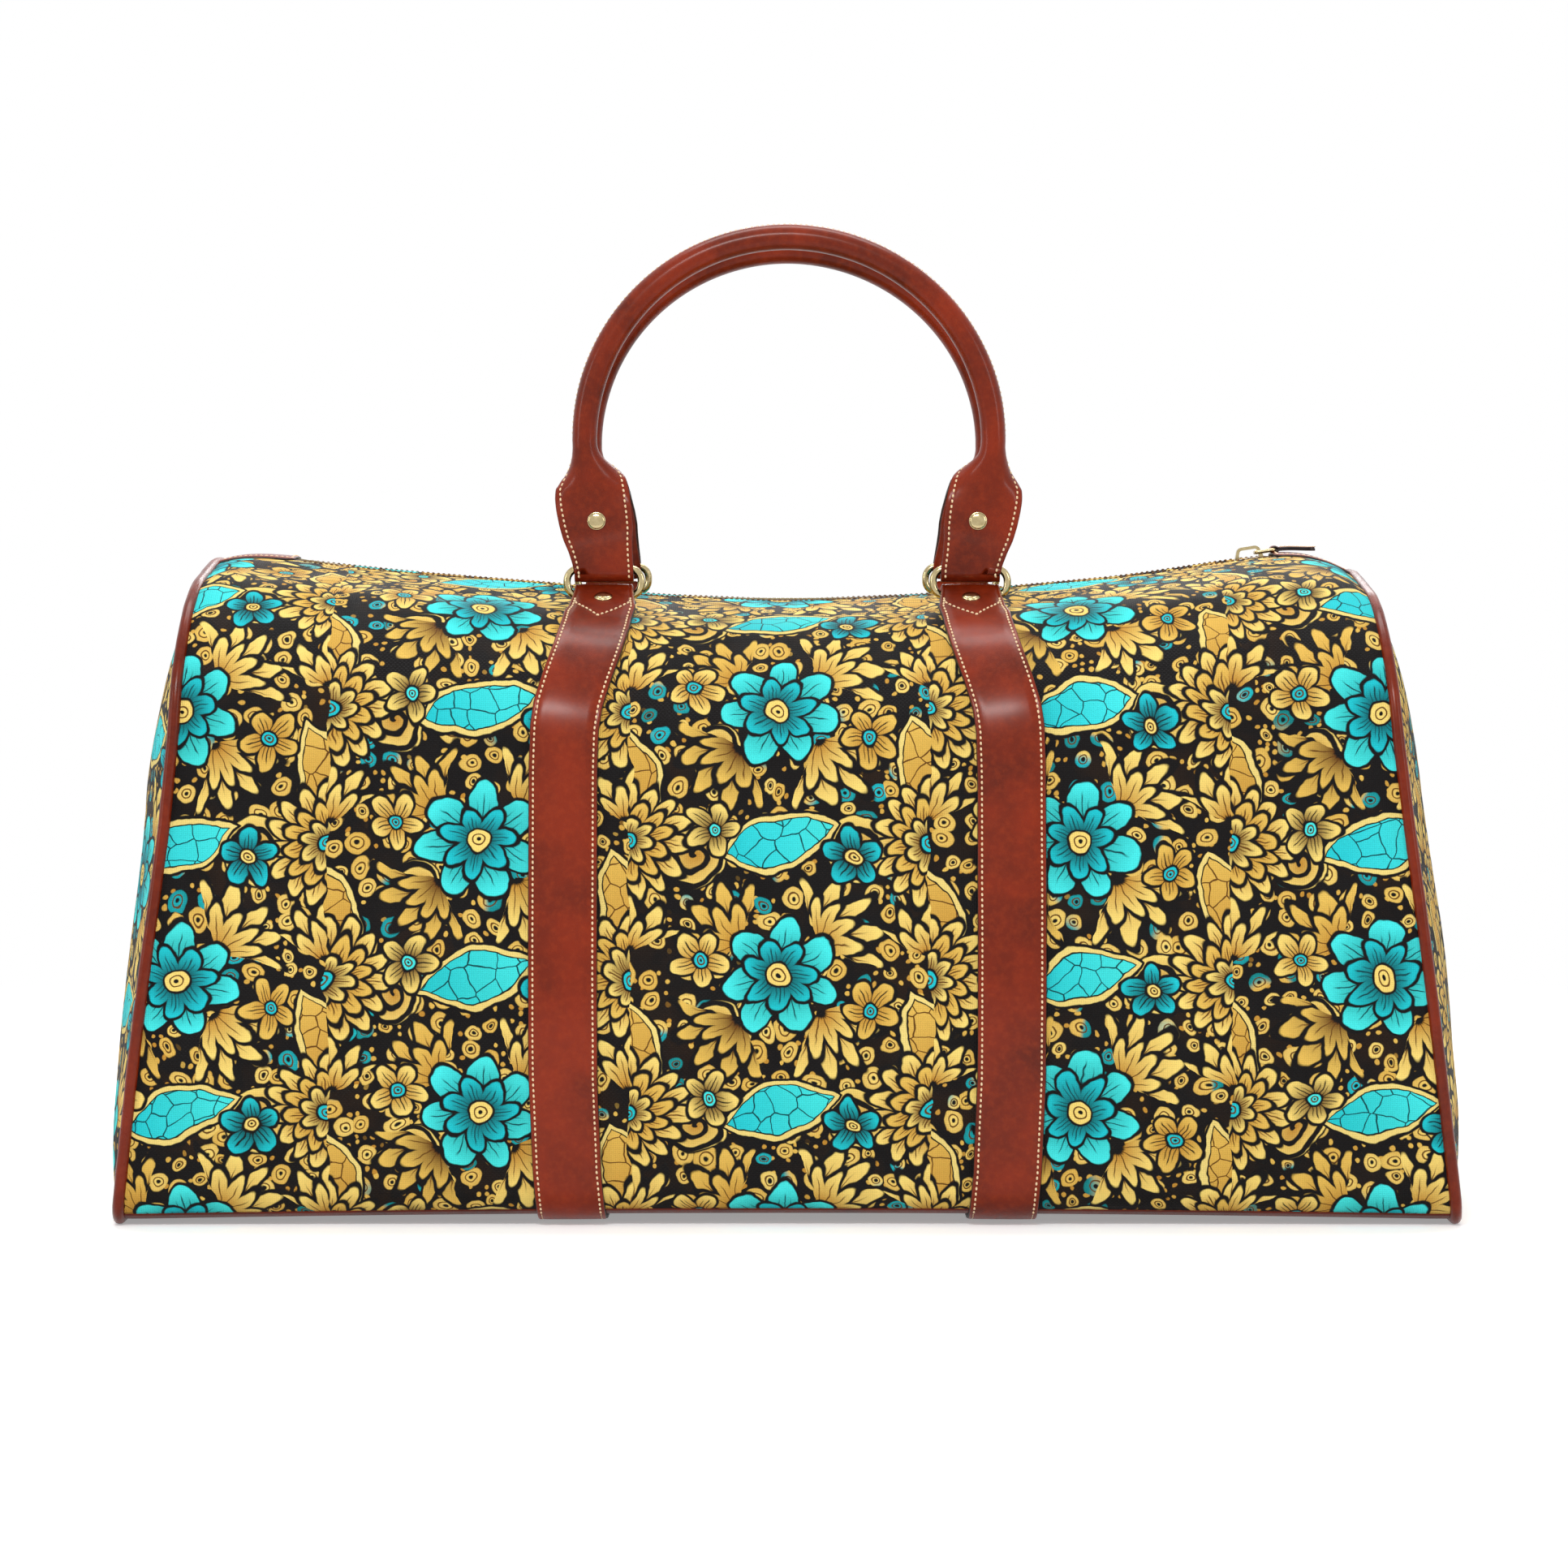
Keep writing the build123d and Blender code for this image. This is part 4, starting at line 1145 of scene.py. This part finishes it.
def build_handle(face, fword):
    left, arch, right = handle_leg(-1, face), handle_arch(face), handle_leg(1, face)
    rows = left + arch + right[::-1]
    pos = np.array([r[0] for r in rows])
    out = np.array([r[1] for r in rows])
    t = unit(np.gradient(pos, axis=0))
    t = unit(t - out * np.sum(t * out, 1, keepdims=True))
    inward = np.cross(t, out) * face * -1
    # inward points to the middle of the arch on both legs
    mid = np.array([0, face * RING_Y, HANDLE_Z])
    flip = np.sign(np.sum(inward * (mid - pos), 1))
    upper = slice(len(left) - 20, len(left) + len(arch) + 20)
    inward = unit(inward * np.sign(np.median(flip[upper])))
    stitch_a, limit = 0.85, math.pi * 0.985
    a = np.sort(np.concatenate([np.linspace(-1, 1, 41), [-0.88, 0.88]]))
    groove = 0.16 * np.exp(-((np.abs(a) - stitch_a) / 0.03) ** 2)
    outer, inner = [], []
    for across, (p, o, w, r, tw, th) in zip(inward, rows):
        curl = a * w / max(r - th / 2, 0.5) if r < 500 else a * w / r
        ang = np.clip(curl, -limit, limit) + tw * smooth_step(min(1.0, 20.0 / r))
        radial = o[None] * np.cos(ang)[:, None] + across[None] * np.sin(ang)[:, None]
        outer.append(p - o * r + radial * (r - groove)[:, None])
        inner.append(p - o * r + radial * (r - th))
    outer, inner = np.array(outer), np.array(inner)
    m, k = outer.shape[:2]
    ring = np.concatenate([outer, inner[:, ::-1]], 1)
    cols = ring.shape[1]
    faces = quads(m, cols, wrap_cols=True).tolist()
    col = np.tile(np.arange(cols), m - 1)
    mats = np.zeros(len(faces), int)
    mats[(col == k - 1) | (col == cols - 1)] = 1
    mats[(col >= k) & (col < cols - 1)] = 2
    mats = mats.tolist()
    for i in (0, m - 1):
        for c in range(k - 1):
            q = [i * cols + c, i * cols + c + 1, i * cols + cols - 2 - c, i * cols + cols - 1 - c]
            faces.append(q if i else q[::-1])
            mats.append(1)
    skins = [leather, edge_paint, leather_inside]
    obj = make_mesh(f"handle_leather_{fword}", ring.reshape(-1, 3), faces, skins, face_mats=mats)
    fix_normals(obj)
    attach(obj, f"handle_{fword}", f"handle_{fword}")
    lines = []
    skip = 31
    for target in (-stitch_a, stitch_a):
        j = int(np.argmin(np.abs(a - target)))
        line = outer[skip:m - skip, j]
        nrm = unit(line - inner[skip:m - skip, j])
        lines.append((line + nrm * 0.02, nrm))
    thread_object(f"handle_stitches_{fword}", lines, f"handle_{fword}")


for face, word in FACES:
    build_handle(face, word)

# ---------------------------------------------------------------- zip
# the parts that keep their CAD shapes
for node in ("zip_teeth_front", "zip_teeth_rear", "zip_slider", "zip_pull"):
    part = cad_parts[node]
    part.data.materials.clear()
    part.data.materials.append(gold)


def sheet(top, thickness, normals):
    """A closed sheet from a grid of points on its upper face: verts and faces."""
    rows, cols = top.shape[:2]
    under = top - normals * thickness
    verts = np.concatenate([top.reshape(-1, 3), under.reshape(-1, 3)])
    upper = quads(rows, cols).tolist()
    lower = (quads(rows, cols, flip=True) + rows * cols).tolist()
    rim = list(range(cols)) + [r * cols + cols - 1 for r in range(1, rows)]
    rim += [(rows - 1) * cols + c for c in range(cols - 2, -1, -1)]
    rim += [r * cols for r in range(rows - 2, 0, -1)]
    shift = rows * cols
    sides = [[a, b, b + shift, a + shift] for a, b in zip(rim, rim[1:] + rim[:1])]
    return verts, upper + lower + sides, [0] * (len(upper) + len(lower)) + [1] * len(sides)


def build_tape(face, fword):
    """Woven tape between the teeth and the canvas, with its two reinforcing ribs."""
    xs = np.linspace(-TAPE_HALF, TAPE_HALF, 205)
    ys = np.array([3.3, 3.7, 4.3, 4.9, 5.6, 7.5, 9.5, 11.0, 11.5, 12.2, 14.4, 15.4])
    lift = np.array([-0.25, 0.05, 0.18, 0.05, 0.0, 0.0, 0.0, 0.0, 0.14, 0.0, -0.1, -0.35])
    x, y = np.meshgrid(xs, ys)
    ripple = 0.16 * wave_grid(x / 16.0, y / 9.0, 51.0 + face)
    z = ARC_Z - np.sqrt(CREST_R ** 2 - x ** 2) - 0.62 + lift[:, None]
    z = z + ripple * smooth_step((y - 4.0) / 4.0)
    top = np.stack([x, y * face, z], -1)
    n = np.zeros_like(top)
    n[..., 2] = 1.0
    v, f, m = sheet(top, 0.8, n)
    obj = make_mesh(f"zip_cloth_{fword}", v, f, [tape], face_mats=[0] * len(m))
    fix_normals(obj)
    attach(obj, "bag", f"zip_tape_{fword}")


def top_points(foot, ys):
    """Points on the plain top of the bag beside the zip, at distances ys from its middle."""
    half = station(foot)[: SLOT_ROW + COUNTS[1]]
    a = np.abs(ys)
    return np.stack([np.interp(a, half[:, 1], half[:, 0]), ys, np.interp(a, half[:, 1], half[:, 2])], -1)


def build_end_tab(side, word):
    """Leather facing over one end of the zip, stitched round its edge and sewn into the piped seam."""
    feet = np.linspace(205, 240, 15)
    first = float(np.interp(FACING_X, [station(f)[0, 0] for f in feet], feet))
    corner = 4.0
    spots = [np.linspace(first, first + corner, 7), np.linspace(first + corner + 1, BASE_HALF + 0.8, 20)]
    shares = np.array([-1, -0.97, -0.9, -0.86, -0.8, -0.5, 0, 0.5, 0.8, 0.86, 0.9, 0.97, 1.0])
    top = []
    for f in np.concatenate(spots):
        short = max(0.0, corner - (f - first))
        half = 17.0 - (corner - math.sqrt(max(0.0, corner ** 2 - short ** 2)))
        top.append(top_points(side * f, shares * half))
    top = np.array(top)
    n = unit(np.cross(np.gradient(top, axis=1), np.gradient(top, axis=0)))
    n = n * np.sign(n[..., 2:3])
    edge = np.array([0.75, 1.0, 1.1, 0.95, 1.1, 1.15, 1.15, 1.15, 1.1, 0.95, 1.1, 1.0, 0.75])
    rise = np.broadcast_to(edge[None, :], top.shape[:2]).copy()
    rise[0] *= 0.7
    top = top + n * (0.15 + 0.85 * rise)[..., None]
    v, f, m = sheet(top, 1.1, n)
    obj = make_mesh(f"zip_end_leather_{word}", v, f, [leather, edge_paint], face_mats=m)
    fix_normals(obj)
    attach(obj, "bag", f"zip_end_tab_{word}")
    lines = [(top[2:-3, c], n[2:-3, c]) for c in (3, 9)]
    lines.append((top[2, 3:10], n[2, 3:10]))
    thread_object(f"zip_end_stitches_{word}", lines, "bag", length=1.5, width=0.3, height=0.26)


def build_pull_tab():
    """Thin leather strip folded round the far bar of the zip's pull and sewn to itself."""
    angle = math.asin(PULL_X / CREST_R)
    origin = np.array([PULL_X, 0.0, ARC_Z - math.sqrt(CREST_R ** 2 - PULL_X ** 2)])
    along = np.array([math.cos(angle), 0, math.sin(angle)])
    up = np.array([-math.sin(angle), 0, math.cos(angle)])
    bar_u, wall, bore = 10.6, 0.8, 0.9
    radius = bore + wall
    middle_u = np.array([12.6, 14.0, 16.0, 18.5, 21.0, 23.5, 25.5, 27.2])
    middle_h = PULL_H - 2.0 * smooth_step((middle_u - 11.5) / 20.0) * 1.25
    outline = [(u, h + wall + 0.02) for u, h in zip(middle_u[::-1], middle_h[::-1])]
    for t in np.radians(np.linspace(62, 298, 15)):
        outline.append((bar_u + radius * math.cos(t), PULL_H + radius * math.sin(t)))
    outline += [(u, h - wall - 0.02) for u, h in zip(middle_u, middle_h)]
    outline = np.array(outline)
    flow = unit(np.gradient(outline, axis=0))
    out2 = np.stack([flow[:, 1], -flow[:, 0]], 1)
    if out2[0, 1] < 0:
        out2 = -out2
    half = np.interp(outline[:, 0], [8.8, 11.5, 13.5, 26.0, 27.2], [3.3, 3.5, 4.1, 4.1, 3.4])
    shares = np.array([-1, -0.93, -0.5, 0, 0.5, 0.93, 1.0])
    drop = np.array([0.18, 0.0, 0, 0, 0, 0.0, 0.18])
    centre = origin + outline[:, :1] * along + outline[:, 1:] * up
    n = out2[:, :1] * along + out2[:, 1:] * up
    top = centre[:, None] + n[:, None] * -drop[None, :, None]
    top[..., 1] += half[:, None] * shares[None]
    normals = np.broadcast_to(n[:, None], top.shape)
    v, f, m = sheet(top, wall, normals)
    obj = make_mesh("zip_pull_leather", v, f, [leather, edge_paint], face_mats=m)
    fix_normals(obj)
    attach(obj, "zip_pull", "zip_pull_tab")
    count = len(middle_u)
    lines = []
    for k in (-0.74, 0.74):
        line = centre[:count - 1].copy()
        line[:, 1] += k * half[:count - 1]
        lines.append((line + n[:count - 1] * 0.02, n[:count - 1]))
    thread_object("zip_pull_stitches", lines, "zip_pull", pitch=1.7, length=1.2, width=0.2, height=0.18)


for face, word in FACES:
    build_tape(face, word)
for side, word in SIDES:
    build_end_tab(side, word)
build_pull_tab()

# ---------------------------------------------------------------- stage
def build_floor():
    """Pale floor: it holds the bag's shadow near the bag, and further off it shines plain white."""
    size = 6000.0
    corners = [(-size, -size, 0), (size, -size, 0), (size, size, 0), (-size, size, 0)]
    mat = bpy.data.materials.new("floor")
    mat.use_nodes = True
    t = Tree(mat.node_tree)
    nodes = mat.node_tree.nodes
    nodes.remove(nodes["Principled BSDF"])
    path = t.node("ShaderNodeLightPath")
    seen = t.math("ADD", t.out(path, "Is Camera Ray"), t.out(path, "Is Glossy Ray"), clamp=True)
    diffuse = t.out(t.node("ShaderNodeBsdfDiffuse", (0.93, 0.93, 0.93, 1)))
    near_glow = t.out(t.named("ShaderNodeEmission", {"Strength": seen * 0.32}))
    far_glow = t.out(t.named("ShaderNodeEmission", {"Strength": t.between(seen, 0, 1, 0.7, 1.0)}))
    near = t.out(t.node("ShaderNodeAddShader", diffuse, near_glow))
    place = t.out(t.node("ShaderNodeTexCoord"), "Object")
    reach = t.out(t.node("ShaderNodeVectorMath", place, operation="LENGTH"), "Value")
    share = t.below(reach, 0.725, 0.275)
    whole = t.out(t.node("ShaderNodeMixShader", share, far_glow, near))
    t.put(nodes["Material Output"].inputs["Surface"], whole)
    floor = make_mesh("floor", corners, [(0, 1, 2, 3)], [mat])


build_floor()

world = bpy.data.worlds.new("studio")
bpy.context.scene.world = world
world.use_nodes = True
w = Tree(world.node_tree)
path = w.node("ShaderNodeLightPath")
mirrored = w.math("MAXIMUM", w.out(path, "Is Glossy Ray"), w.out(path, "Is Transmission Ray"))
seen = w.math("MAXIMUM", w.out(path, "Is Camera Ray"), mirrored)
bg = world.node_tree.nodes["Background"]
bg.inputs["Color"].default_value = (1, 1, 1, 1)
w.put(bg.inputs["Strength"], w.between(seen, 0, 1, 0.42, 1.0))


def area(name, place, target, size, power, size_y):
    """A rectangular lamp that faces a point. Here lengths are in metres."""
    data = bpy.data.lights.new(name, "AREA")
    data.energy = power
    data.shape = "RECTANGLE"
    data.size, data.size_y = size, size_y
    obj = bpy.data.objects.new(name, data)
    bpy.context.scene.collection.objects.link(obj)
    obj.location = place
    obj.rotation_euler = (Vector(target) - Vector(place)).to_track_quat("-Z", "Y").to_euler()


area("top_softbox", (0.0, 0.25, 1.7), (0, 0, 0.15), 1.4, 17.0, 0.5)
area("front_softbox", (-0.25, -1.75, 1.35), (0, 0, 0.18), 0.8, 20.0, 0.22)
area("left_strip", (-1.9, -1.0, 0.7), (0, 0, 0.18), 0.2, 6.0, 0.9)
area("right_strip", (1.7, -1.2, 0.8), (0, 0, 0.18), 0.2, 6.0, 0.9)
area("rear_softbox", (0.3, 2.1, 1.3), (0, 0, 0.2), 1.1, 9.0, 0.45)

# the photo's own camera, with its focal length and width in pixels
PHOTO_FOCUS, PHOTO_WIDTH, SENSOR = 5930.0, 1932.0, 36.0
camera = bpy.data.cameras.new("camera")
camera.sensor_width = SENSOR
camera.lens = PHOTO_FOCUS / PHOTO_WIDTH * SENSOR
cam = bpy.data.objects.new("camera", camera)
bpy.context.scene.collection.objects.link(cam)
cam.location = (-0.0013, -2.0, 0.278)
cam.rotation_euler = (math.pi / 2 - 0.0546, 0, 0)
bpy.context.scene.camera = cam

bpy.context.scene.view_settings.view_transform = "Standard"
